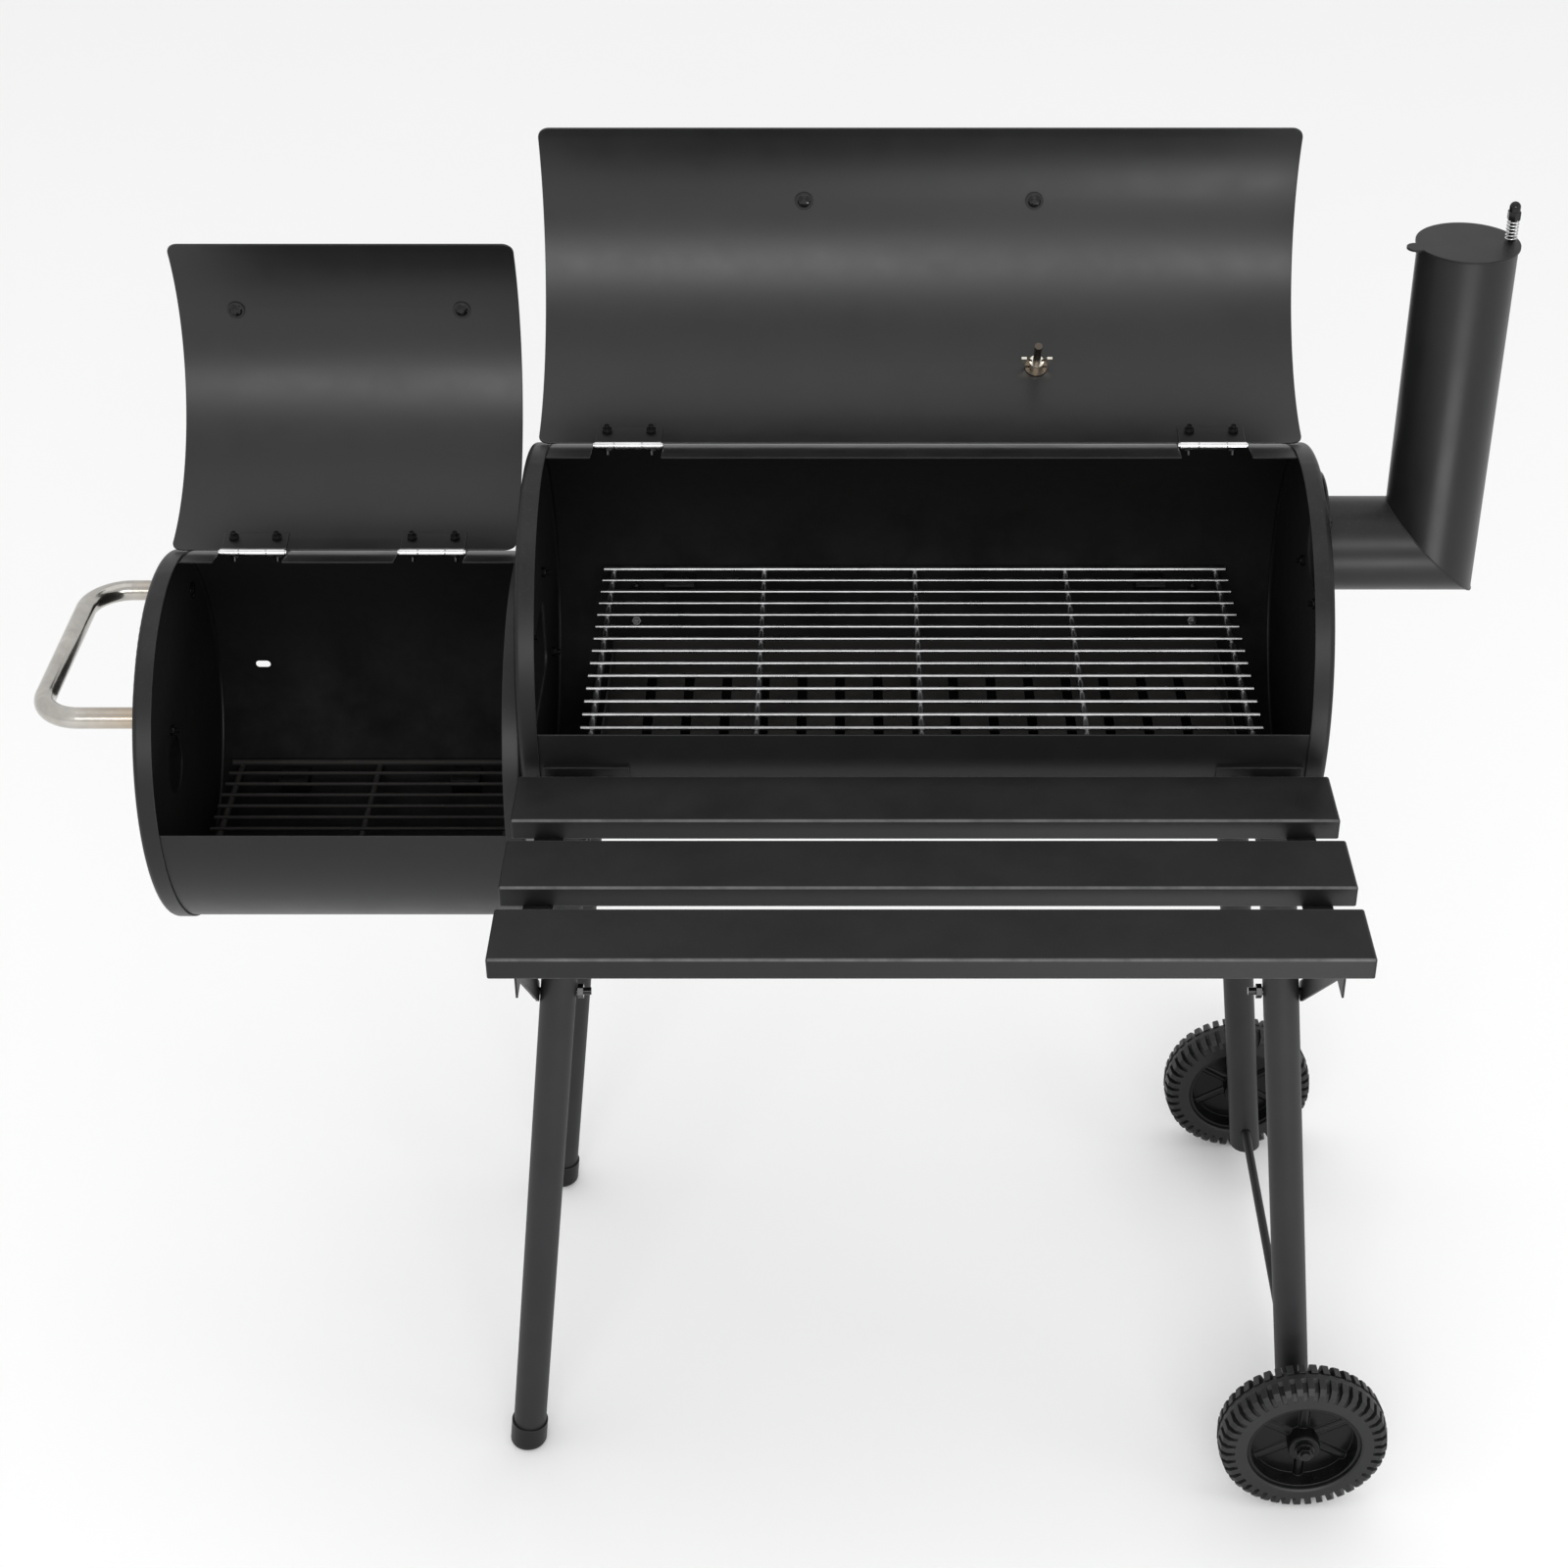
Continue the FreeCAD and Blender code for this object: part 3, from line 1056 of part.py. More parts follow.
def axle_pieces():
    """Axle rod, the spacer beside each leg and the nut with its washer outside each wheel."""
    centre = Vector(leg_x(WHEEL_RADIUS), 0, WHEEL_RADIUS)
    PARTS["axle"] = cylinder(centre - Y * AXLE_HALF_LENGTH, Y, AXLE_RADIUS, 2 * AXLE_HALF_LENGTH)
    spacers = []
    nuts = []
    for side in (-1, 1):
        way = Y * side
        inner_end = LEG_Y + LEG_RADIUS + SPACER_GAP
        outer_end = WHEEL_Y - HUB_HALF_LENGTH - SPACER_GAP
        tube = cylinder(centre + way * inner_end, way, AXLE_RADIUS + SPACER_WALL, outer_end - inner_end)
        bore = cylinder(centre + way * (inner_end - 1), way, AXLE_RADIUS + RUNNING_GAP, outer_end)
        spacers.append(tube.cut(bore))
        face = WHEEL_Y + HUB_HALF_LENGTH + AXLE_WASHER_GAP
        washer = cylinder(centre + way * face, way, AXLE_WASHER_RADIUS, AXLE_WASHER_SHEET)
        nut = hexagon(centre + way * (face + AXLE_WASHER_SHEET), way, AXLE_NUT_FLATS, AXLE_NUT_HEIGHT)
        nut_bore = cylinder(centre + way * (face - 1), way, AXLE_RADIUS + RUNNING_GAP, 12)
        nuts.append(fused([washer, nut]).cut(nut_bore))
    PARTS["axle_spacers"] = Part.makeCompound(spacers)
    PARTS["axle_nuts"] = Part.makeCompound(nuts)


# ---------------------------------------------------------------- assembly

def build_drums():
    """Barrels, caps, lids, hinges, handles and everything bolted through them."""
    leaves = []
    screws = []
    pins = []
    drum_holes = {}
    for drum, prefix in ((CHAMBER, "main"), (FIREBOX, "firebox")):
        body_leaves, body_screws, drum_pins, holes = hinges(drum, prefix)
        leaves += body_leaves
        screws += body_screws
        pins += drum_pins
        drum_holes[prefix] = holes
    PARTS["hinge_body_leaves"] = Part.makeCompound(leaves)
    PARTS["hinge_body_screws"] = Part.makeCompound(screws)
    PARTS["hinge_pins"] = Part.makeCompound(pins)

    saddle_screws = []
    for side_x in (-1, 1):
        for side_y in (-1, 1):
            grip = BRACKET_SHEET + SEAT_GAP + SHEET
            places = saddle_screw_places(side_x, side_y)
            holes = [hole(place, inward, grip, SCREW_RADIUS) for place, inward in places]
            drum_holes["main"] += holes
            saddle_screws += [screw(place, inward, grip) for place, inward in places]
    PARTS["leg_bracket_screws"] = Part.makeCompound(saddle_screws)
    PARTS["main_barrel"] = drilled(barrel_shell(CHAMBER), drum_holes["main"])
    slot_radius = SLOT_HEIGHT / 2
    slot_way = direction(SLOT_ANGLE)
    slot = rounded_prism(FIREBOX.point(SLOT_X, SLOT_ANGLE, FIREBOX.radius - 8), X, slot_way.cross(X),
                         SLOT_LENGTH, SLOT_HEIGHT, slot_radius - 0.01, slot_way, 16)
    PARTS["firebox_shell"] = drilled(barrel_shell(FIREBOX), drum_holes["firebox"] + [slot])

    gauge_hole = thermometer()
    PARTS["main_lid"] = lid_with_handle(CHAMBER, "main_lid_handle", "main_lid_handle_screws", [gauge_hole])
    PARTS["firebox_lid"] = lid_with_handle(FIREBOX, "firebox_lid_handle", "firebox_lid_handle_screws", [])


def build_caps():
    """End caps with the smoke passage, the chimney hole and the air vent."""
    seam = CHAMBER.left
    passage = rounded_prism(Vector(seam - 5, 0, PASSAGE_Z), Y, Z, PASSAGE_WIDTH, PASSAGE_HEIGHT,
                            PASSAGE_CORNER, X, 10)
    joint_bolts = []
    joint_holes = []
    for y, z in JOINT_BOLTS_YZ:
        place = Vector(seam - SHEET, y, z)
        joint_bolts.append(screw(place, X, 2 * SHEET))
        joint_holes.append(hole(place, X, 2 * SHEET, SCREW_RADIUS))
    PARTS["firebox_joint_screws"] = Part.makeCompound(joint_bolts)
    PARTS["main_left_cap"] = drilled(cap(CHAMBER, CHAMBER.left, -1), [passage] + joint_holes)
    PARTS["firebox_right_cap"] = drilled(cap(FIREBOX, FIREBOX.right, 1), [passage] + joint_holes)

    smoke_hole = cylinder(Vector(CHAMBER.right - 5, CHIMNEY_Y, CHIMNEY_Z), X, CHIMNEY_RADIUS - SHEET, 10)
    PARTS["main_right_cap"] = drilled(cap(CHAMBER, CHAMBER.right, 1), [smoke_hole] + chimney_bolt_holes())
    grip = CHIMNEY_FLANGE_SHEET + SHEET
    PARTS["chimney_screws"] = Part.makeCompound([screw(place, -X, grip) for place in chimney_bolt_places()])

    handle_centre = Vector(FIREBOX.left, 0, SIDE_HANDLE_Z)
    handle_holes = handle_screw_holes(handle_centre, -X, Y, SIDE_HANDLE_SPAN)
    handle = u_handle(handle_centre, -X, Y, SIDE_HANDLE_SPAN, SIDE_HANDLE_STANDOFF, SIDE_HANDLE_BEND)
    PARTS["side_handle"] = drilled(handle, handle_holes)
    PARTS["side_handle_screws"] = Part.makeCompound(
        handle_screws(handle_centre, -X, Y, SIDE_HANDLE_SPAN, SHEET))
    PARTS["firebox_left_cap"] = drilled(cap(FIREBOX, FIREBOX.left, -1), air_vent() + handle_holes)


def build_inside():
    """Grates, the charcoal tray and their rests."""
    PARTS["cooking_grate"] = wire_grate(0, GRATE_Z, GRATE_LENGTH, GRATE_DEPTH, GRATE_WIRES)
    PARTS["charcoal_tray"] = charcoal_tray()
    PARTS["firebox_charcoal_grate"] = wire_grate(FIREBOX_LID_MID_X, FIRE_GRATE_Z, FIRE_GRATE_LENGTH,
                                                 FIRE_GRATE_DEPTH, FIRE_GRATE_WIRES)
    PARTS["grate_rests"] = rest_brackets()


def build_frame():
    """Legs, brackets, shelf, struts, feet, axle and wheels."""
    slat_fronts = [SLAT_FRONT_Y + index * SLAT_SPACING for index in range(3)]
    studs = []
    stud_holes = []
    for name, front_y in zip(("front", "middle", "rear"), slat_fronts):
        PARTS["shelf_slat_" + name] = slat(front_y)
        studs += slat_studs(front_y)
        for side in (-1, 1):
            place = Vector(side * STUD_X, front_y + SLAT_DEPTH / 2, SLAT_TOP_Z)
            stud_holes.append(cylinder(place - Z * 25, Z, SCREW_RADIUS + HOLE_GAP, 20))
    PARTS["slat_studs"] = Part.makeCompound(studs)

    frame_bolts = []
    arms = []
    struts = []
    brackets = []
    cheek_reach = LEG_RADIUS + BRACKET_SHEET + 2.2
    strut_top_z = SLAT_TOP_Z - SLAT_LIP - 16
    for side_x, side_name in ((-1, "left"), (1, "right")):
        outward = X * side_x
        top_x = leg_x(LEG_BOLT_Z)
        foot_x = leg_x(STRUT_FOOT_Z)
        foot_place = Vector(side_x * (foot_x + LEG_RADIUS + STRUT_GAP), -LEG_Y, STRUT_FOOT_Z)
        strut_top = Vector(side_x * (ARM_INNER_X + ARM_SHEET + STRUT_GAP), STRUT_TOP_Y, strut_top_z)
        strut = flat_bar(strut_top, foot_place, STRUT_WIDTH, STRUT_SHEET, outward)
        foot_head = foot_place + outward * (STRUT_SHEET + STRUT_GAP)
        foot_grip = STRUT_SHEET + 2 * LEG_RADIUS + 3 * STRUT_GAP
        top_head = strut_top + outward * (STRUT_SHEET + STRUT_GAP)
        top_grip = STRUT_SHEET + ARM_SHEET + 2 * STRUT_GAP
        front_head = Vector(side_x * (ARM_INNER_X + ARM_SHEET), -LEG_Y, LEG_BOLT_Z)
        front_grip = ARM_INNER_X + ARM_SHEET - top_x + cheek_reach
        back_head = Vector(side_x * (top_x + cheek_reach), LEG_Y, LEG_BOLT_Z)
        places = [(foot_head, foot_grip), (top_head, top_grip), (front_head, front_grip),
                  (back_head, 2 * cheek_reach)]
        holes = [hole(place, -outward, grip, BOLT_RADIUS) for place, grip in places]
        frame_bolts += [bolt(place, -outward, grip) for place, grip in places]
        struts.append(drilled(strut, holes))
        arms.append(shelf_arm(side_x, holes + stud_holes))
        for side_y, end_name in ((-1, "front"), (1, "back")):
            saddle_holes = [hole(place, inward, BRACKET_SHEET, SCREW_RADIUS)
                            for place, inward in saddle_screw_places(side_x, side_y)]
            brackets.append(drilled(leg_bracket(side_x, side_y), holes + saddle_holes))
            if side_x < 0:
                bottom = FOOT_EDGE + 1
                leg_holes = holes
            else:
                bottom = WHEEL_LEG_BOTTOM_Z
                axle_hole = cylinder(Vector(leg_x(WHEEL_RADIUS), -300, WHEEL_RADIUS), Y,
                                     AXLE_RADIUS + HOLE_GAP, 600)
                leg_holes = holes + [axle_hole]
            PARTS["leg_" + end_name + "_" + side_name] = drilled(leg(side_x, side_y, bottom), leg_holes)
    PARTS["frame_bolts"] = Part.makeCompound(frame_bolts)
    PARTS["shelf_arms"] = Part.makeCompound(arms)
    PARTS["shelf_struts"] = Part.makeCompound(struts)
    PARTS["leg_brackets"] = Part.makeCompound(brackets)
    PARTS["foot_caps"] = Part.makeCompound([foot_cap(-1, side_y) for side_y in (-1, 1)])
    axle_pieces()
    for side_y, name in ((-1, "front"), (1, "back")):
        PARTS["wheel_" + name + "_tyre"] = tyre(side_y * WHEEL_Y)
        PARTS["wheel_" + name + "_rim"] = wheel_rim(side_y * WHEEL_Y)


def whole_box():
    """Bounding box of all parts together."""
    total = FreeCAD.BoundBox()
    for shape in PARTS.values():
        total.add(shape.optimalBoundingBox(False))
    return total


build_drums()
build_caps()
build_inside()
PARTS["chimney_pipe"] = chimney()
damper()
build_frame()

EXTENT = whole_box()
SHIFT = Vector(-EXTENT.Center.x, -EXTENT.Center.y, -EXTENT.ZMin)

os.makedirs("parts", exist_ok=True)
for name, shape in PARTS.items():
    shape.translate(SHIFT)
    shape.exportStep("parts/" + name + ".step")
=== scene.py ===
"""Offset smoker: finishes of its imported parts, its dial printing and weld beads, and a plain studio."""

import json
import math

import bmesh
import bpy
import numpy as np
from bpy.props import FloatProperty, FloatVectorProperty, IntProperty, PointerProperty
from mathutils import Matrix, Vector


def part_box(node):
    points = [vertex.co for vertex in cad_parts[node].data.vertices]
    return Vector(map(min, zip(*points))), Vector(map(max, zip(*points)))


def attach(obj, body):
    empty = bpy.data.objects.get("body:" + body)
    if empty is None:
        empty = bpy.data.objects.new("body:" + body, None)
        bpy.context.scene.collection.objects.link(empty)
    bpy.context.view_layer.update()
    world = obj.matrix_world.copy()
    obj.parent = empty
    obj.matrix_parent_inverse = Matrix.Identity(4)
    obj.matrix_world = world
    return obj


bl_info = {
    "name": "Offset Smoker",
    "version": (1, 0, 0),
    "blender": (4, 5, 0),
    "location": "View3D > Sidebar > Smoker",
    "description": "Finishes, dial printing, weld beads and studio for an offset smoker",
    "category": "Add Mesh",
}

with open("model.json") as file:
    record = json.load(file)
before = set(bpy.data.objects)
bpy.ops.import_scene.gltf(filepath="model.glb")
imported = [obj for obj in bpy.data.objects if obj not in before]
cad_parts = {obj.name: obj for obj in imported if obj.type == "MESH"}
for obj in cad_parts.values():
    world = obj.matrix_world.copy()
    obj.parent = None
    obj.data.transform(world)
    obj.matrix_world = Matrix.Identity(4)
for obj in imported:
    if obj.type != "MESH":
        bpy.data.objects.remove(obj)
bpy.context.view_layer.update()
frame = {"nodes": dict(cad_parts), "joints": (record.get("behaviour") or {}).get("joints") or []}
NODES = frame["nodes"]
HINGES = {joint["name"]: Vector(joint["pos_m"]) for joint in frame["joints"]}

# Places read from the frame
CHAMBER_CAP_LOW, CHAMBER_CAP_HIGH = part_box("main_right_cap")
CHAMBER_LEFT_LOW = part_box("main_left_cap")[0]
FIREBOX_CAP_LOW, FIREBOX_CAP_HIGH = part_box("firebox_left_cap")
FIREBOX_RIGHT_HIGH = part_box("firebox_right_cap")[1]
PIPE_LOW, PIPE_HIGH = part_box("chimney_pipe")

# How far inside a cap's face and rim the soot and painted shade start, and how far the bright knuckle
# reaches
SOOT_AND_SHADE_INSET = 0.0006
RIM_CLEARANCE = 0.0020
KNUCKLE_REACH = 0.0042

# Share of its own colour that a surface has in its darkest and lightest patches
COAT_PATCHES = (0.84, 1.16)
MOULDING_PATCHES = (0.80, 1.25)
DULL_METAL = 0.74
DULL_PLATE = 0.8
SMOKED_WIRE = 0.62

# How far roughness falls and rises from patch to patch, and what full dust, or the soot and painted shade
# inside a drum, makes of it
COAT_ROUGHNESS_SPREAD = (0.035, 0.045)
MOULDING_ROUGHNESS_SPREAD = (0.06, 0.08)
DUST_ROUGHNESS = 0.3
SOOT_AND_SHADE_ROUGHNESS = 0.96

# How much smoother the lids and chimney are than the rest of the coat, and how much rougher the slats
LID_SMOOTHER = 0.02
CHIMNEY_SMOOTHER = 0.03
SLAT_ROUGHER = 0.02

# What drawn lines and smears add to a bright metal's roughness, and what is taken off first
LINE_ROUGHNESS = 0.10
SMEAR_ROUGHNESS = 0.07
METAL_ROUGHNESS_BASE = 0.08

# How far along the tube heat has tinted it, and how strongly
HEAT_LENGTH = 0.05
HEAT_STRENGTH = 0.6

# Colours of small parts and thin layers
# Soot and painted shade: the near-black that darkens the inside of each drum
SOOT_AND_SHADE_COLOUR = (0.0012, 0.0011, 0.0010)
SCORCHED_COLOUR = (0.020, 0.018, 0.017)
HEAT_COLOUR = (0.40, 0.29, 0.18)
WING_NUT_COLOUR = (0.70, 0.66, 0.58)
STEM_COLOUR = (0.10, 0.085, 0.07)
CLEAR_GLASS, SMEARED_GLASS = (0.96, 0.98, 0.98), (0.92, 0.95, 0.95)
DIM_PAPER, CLEAN_PAPER = (0.74, 0.74, 0.71), (0.82, 0.82, 0.80)
INK_COLOUR = (0.010, 0.010, 0.011)
NEEDLE_COLOUR = (0.42, 0.022, 0.016)

# Weld beads: points round each loop, the flange's thickness and how much thicker its bead is
BEAD_STEPS = 180
FLANGE_THICKNESS = 0.0015
FLANGE_BEAD_SHARE = 1.3

# The gauge's printing and needle
DIAL_GAP = 0.0044
INK_HEIGHT = 0.00012
MARKS_PER_LONG_ONE = 5
LONG_MARK_LENGTH, LONG_MARK_HALF_WIDTH = 0.0032, 0.00028
SHORT_MARK_LENGTH, SHORT_MARK_HALF_WIDTH = 0.0018, 0.00014
NUMBERS = (100, 200, 300, 400, 500)
NUMBER_HEIGHT = 0.0042
NUMBER_INSET = 0.0068
NEEDLE_LIFT, NEEDLE_THICKNESS = 0.0011, 0.0003
NEEDLE_TIP_INSET, NEEDLE_TIP_HALF_WIDTH = 0.002, 0.0002
NEEDLE_TAIL_LENGTH, NEEDLE_TAIL_HALF_WIDTH = 0.006, 0.0009
HUB_LIFT, HUB_THICKNESS = 0.0015, 0.0007
HUB_RADIUS, HUB_SIDES = 0.0022, 24

# Soft lights: name, place, point it faces, width, height, the power it takes and its share of that
SOFT_LIGHTS = (
    ("front_softbox", (0.1, -4.4, 2.7), (0.1, 0.1, 0.8), 3.6, 1.3, "front_power", 1.0),
    ("top_softbox", (0.1, 0.4, 4.2), (0.1, 0.2, 0.0), 3.0, 3.0, "top_power", 1.0),
    ("low_softbox", (0.62, -1.35, 0.22), (0.52, 0.0, 0.85), 0.75, 0.35, "low_power", 1.0),
    ("right_softbox", (3.4, -1.6, 1.6), (0.2, 0.0, 0.6), 1.0, 2.0, "front_power", 0.08),
)
FLOOR_DIM_SHARE = 0.985
SENSOR_WIDTH = 36.0
VIEW_END = 100.0


# ---------------------------------------------------------------- settings

class SmokerFinishSettings(bpy.types.PropertyGroup):
    """Colours and surface of the painted, plated and moulded parts."""

    coat_colour: FloatVectorProperty(
        name="Sheet coat", description="Colour of the satin coat on drums, lids and chimney",
        subtype="COLOR", size=3, min=0, max=1, default=(0.0068, 0.0068, 0.0071))
    slat_colour: FloatVectorProperty(
        name="Slat coat", description="Colour of the coat on the shelf slats",
        subtype="COLOR", size=3, min=0, max=1, default=(0.0105, 0.0105, 0.0108))
    tube_colour: FloatVectorProperty(
        name="Leg coat", description="Colour of the matt coat on the leg tubes",
        subtype="COLOR", size=3, min=0, max=1, default=(0.0190, 0.0190, 0.0202))
    bracket_colour: FloatVectorProperty(
        name="Bracket coat", description="Colour of the coat on brackets, arms and the axle",
        subtype="COLOR", size=3, min=0, max=1, default=(0.0055, 0.0055, 0.0058))
    # This colour also paints the highlight along the slats' folds
    edge_colour: FloatVectorProperty(
        name="Worn edge", description="Colour of the coat where handling has thinned it at the edges",
        subtype="COLOR", size=3, min=0, max=1, default=(0.120, 0.120, 0.122))
    dust_colour: FloatVectorProperty(
        name="Dust", description="Colour of the fine dust that settles on upward faces",
        subtype="COLOR", size=3, min=0, max=1, default=(0.16, 0.155, 0.148))
    steel_colour: FloatVectorProperty(
        name="Handle steel", description="Colour of the polished stainless tube",
        subtype="COLOR", size=3, min=0, max=1, default=(0.56, 0.54, 0.50))
    plate_colour: FloatVectorProperty(
        name="Bright plate", description="Colour of the plated hinge knuckles, spring and grates",
        subtype="COLOR", size=3, min=0, max=1, default=(0.72, 0.72, 0.73))
    tyre_colour: FloatVectorProperty(
        name="Tyre", description="Colour of the moulded tyre",
        subtype="COLOR", size=3, min=0, max=1, default=(0.0105, 0.0107, 0.0115))
    wheel_colour: FloatVectorProperty(
        name="Wheel centre", description="Colour of the moulded wheel centre and foot caps",
        subtype="COLOR", size=3, min=0, max=1, default=(0.0024, 0.0025, 0.0028))
    coat_roughness: FloatProperty(
        name="Coat roughness", description="Roughness of the satin coat",
        subtype="FACTOR", min=0, max=1, default=0.40)
    grain_size: FloatProperty(
        name="Coat grain", description="Distance between the bumps of the sprayed coat",
        unit="LENGTH", min=0.0002, max=0.01, default=0.0011)


class SmokerDetailSettings(bpy.types.PropertyGroup):
    """Sizes of the dial printing and the weld beads."""

    dial_scale_radius: FloatProperty(
        name="Dial scale radius", description="Radius of the outer end of the dial's marks",
        unit="LENGTH", min=0.005, max=0.04, default=0.0225)
    dial_marks: IntProperty(
        name="Dial marks", description="Number of marks round the dial", min=11, max=101, default=41)
    dial_sweep: FloatProperty(
        name="Dial sweep", description="Angle that the dial's scale covers",
        unit="ROTATION", min=1.0, max=6.0, default=math.radians(270))
    needle_turn: FloatProperty(
        name="Needle", description="Angle of the needle from the low end of the scale",
        unit="ROTATION", min=0, max=6.0, default=math.radians(24))
    pipe_radius: FloatProperty(
        name="Pipe radius", description="Outer radius of the chimney pipe that the beads follow",
        unit="LENGTH", min=0.02, max=0.08, default=0.0355)
    bead_radius: FloatProperty(
        name="Weld bead", description="Radius of the bead at the chimney's mitre and flange",
        unit="LENGTH", min=0.0002, max=0.004, default=0.0006)


class SmokerStudioSettings(bpy.types.PropertyGroup):
    """The pale floor, the soft lights and the camera."""

    floor_size: FloatProperty(
        name="Floor", description="Side of the square floor",
        unit="LENGTH", min=4, max=100, default=40)
    floor_colour: FloatVectorProperty(
        name="Floor colour", description="Colour of the pale floor",
        subtype="COLOR", size=3, min=0, max=1, default=(0.96, 0.96, 0.96))
    sky_strength: FloatProperty(
        name="Room light", description="Strength of the even light from all round",
        min=0, max=5, default=0.88)
    front_power: FloatProperty(
        name="Front light",
        description="Power of the wide soft light in front, above the height of the lids",
        min=0, max=2000, default=92)
    top_power: FloatProperty(
        name="Top light", description="Power of the soft light overhead",
        min=0, max=2000, default=14)
    low_power: FloatProperty(
        name="Low light",
        description="Power of the small soft light near the floor, in front of the chimney",
        min=0, max=200, default=5.5)
    camera_place: FloatVectorProperty(
        name="Camera", description="Where the camera stands", subtype="TRANSLATION", size=3,
        unit="LENGTH", default=(0.0698, -1.7927, 1.8066))
    camera_pitch: FloatProperty(
        name="Camera pitch", description="How far the camera looks down",
        unit="ROTATION", min=0, max=1.5, default=math.radians(33.52))
    camera_lens: FloatProperty(
        name="Lens", description="Focal length of the camera in millimetres",
        min=20, max=200, default=63.0)
    camera_shift: FloatProperty(
        name="Sideways shift", description="Horizontal shift of the lens",
        min=-0.2, max=0.2, default=-0.0384)


# ---------------------------------------------------------------- node helpers

def add_node(tree, kind, values=None, **settings):
    """Node of a kind, with settings on it and values on its input sockets."""
    node = tree.nodes.new("ShaderNode" + kind)
    for name, value in settings.items():
        setattr(node, name, value)
    for socket, value in (values or {}).items():
        node.inputs[socket].default_value = value
    return node


def feed(tree, target, source):
    """Link a source socket, or set a plain value, on a target socket."""
    if isinstance(source, bpy.types.NodeSocket):
        tree.links.new(source, target)
    else:
        target.default_value = source


def math_node(tree, operation, first, second=0.0, clamp=False):
    """Result of one sum on two sockets or numbers, kept from 0 to 1 if asked."""
    node = add_node(tree, "Math", operation=operation, use_clamp=clamp)
    feed(tree, node.inputs[0], first)
    feed(tree, node.inputs[1], second)
    return node.outputs[0]


def ramp(tree, value, low=0.0, high=1.0, to_low=0.0, to_high=1.0):
    """Value taken from one range to another and kept inside it."""
    node = add_node(tree, "MapRange", clamp=True)
    for index, source in enumerate((value, low, high, to_low, to_high)):
        feed(tree, node.inputs[index], source)
    return node.outputs[0]


def blend_colours(tree, factor, first, second):
    """Colour between two colours; the node's colour sockets are the ones named by number here."""
    node = add_node(tree, "Mix", data_type="RGBA")
    for index, source in ((0, factor), (6, first), (7, second)):
        feed(tree, node.inputs[index], source)
    return node.outputs[2]


def noise(tree, vector, scale, detail=3.0, rough=0.55):
    """Cloudy noise from 0 to 1; scale is in lumps per metre."""
    node = add_node(tree, "TexNoise", {"Detail": detail, "Roughness": rough})
    tree.links.new(vector, node.inputs["Vector"])
    feed(tree, node.inputs["Scale"], scale)
    return node.outputs["Fac"]


def own_place(tree):
    """Position in the smoker's own frame, in metres."""
    return add_node(tree, "TexCoord").outputs["Object"]


def opaque(colour):
    """Colour with full opacity as a fourth channel."""
    return (colour[0], colour[1], colour[2], 1.0)


def shade(colour, share):
    """Opaque colour made darker or lighter by a share."""
    return opaque([channel * share for channel in colour])


def radius_squared(tree, place, middle_y, middle_z):
    """Square of the distance from a line along X, with the place's three parts."""
    parts = add_node(tree, "SeparateXYZ")
    tree.links.new(place, parts.inputs[0])
    across = math_node(tree, "SUBTRACT", parts.outputs[1], middle_y)
    up = math_node(tree, "SUBTRACT", parts.outputs[2], middle_z)
    squares = math_node(tree, "ADD", math_node(tree, "MULTIPLY", across, across),
                        math_node(tree, "MULTIPLY", up, up))
    return squares, parts.outputs


def new_group(name, inputs, outputs):
    """Empty shader node group with its sockets; inputs are (kind, name, default)."""
    group = bpy.data.node_groups.new(name, "ShaderNodeTree")
    for kind, label, default in inputs:
        socket = group.interface.new_socket(label, in_out="INPUT", socket_type="NodeSocket" + kind)
        socket.default_value = default
    for kind, label in outputs:
        group.interface.new_socket(label, in_out="OUTPUT", socket_type="NodeSocket" + kind)
    entry = group.nodes.new("NodeGroupInput")
    leave = group.nodes.new("NodeGroupOutput")
    return group, entry.outputs, leave.inputs


def use_group(tree, name, **values):
    """Place a group in a material; underscores in the value names stand for spaces."""
    node = tree.nodes.new("ShaderNodeGroup")
    node.node_tree = bpy.data.node_groups[name]
    for label, value in values.items():
        feed(tree, node.inputs[label.replace("_", " ")], value)
    return node.outputs


# ---------------------------------------------------------------- shared effects

def sprayed_coat_group():
    """Fine bumps and slow unevenness of a sprayed and baked coat."""
    group, given, out = new_group(
        "Sprayed coat", [("Float", "Grain Size", 0.0011)],
        [("Float", "Grain"), ("Float", "Unevenness")])
    place = own_place(group)
    scale = math_node(group, "DIVIDE", 1.0, given["Grain Size"])
    group.links.new(noise(group, place, scale, detail=2.0, rough=0.5), out["Grain"])
    broad = noise(group, place, scale=7.0, detail=4.0)
    close = noise(group, place, scale=46.0)
    broad_share = 0.68
    mixed = math_node(group, "ADD", math_node(group, "MULTIPLY", broad, broad_share),
                      math_node(group, "MULTIPLY", close, 1 - broad_share))
    group.links.new(ramp(group, mixed, low=0.34, high=0.66), out["Unevenness"])


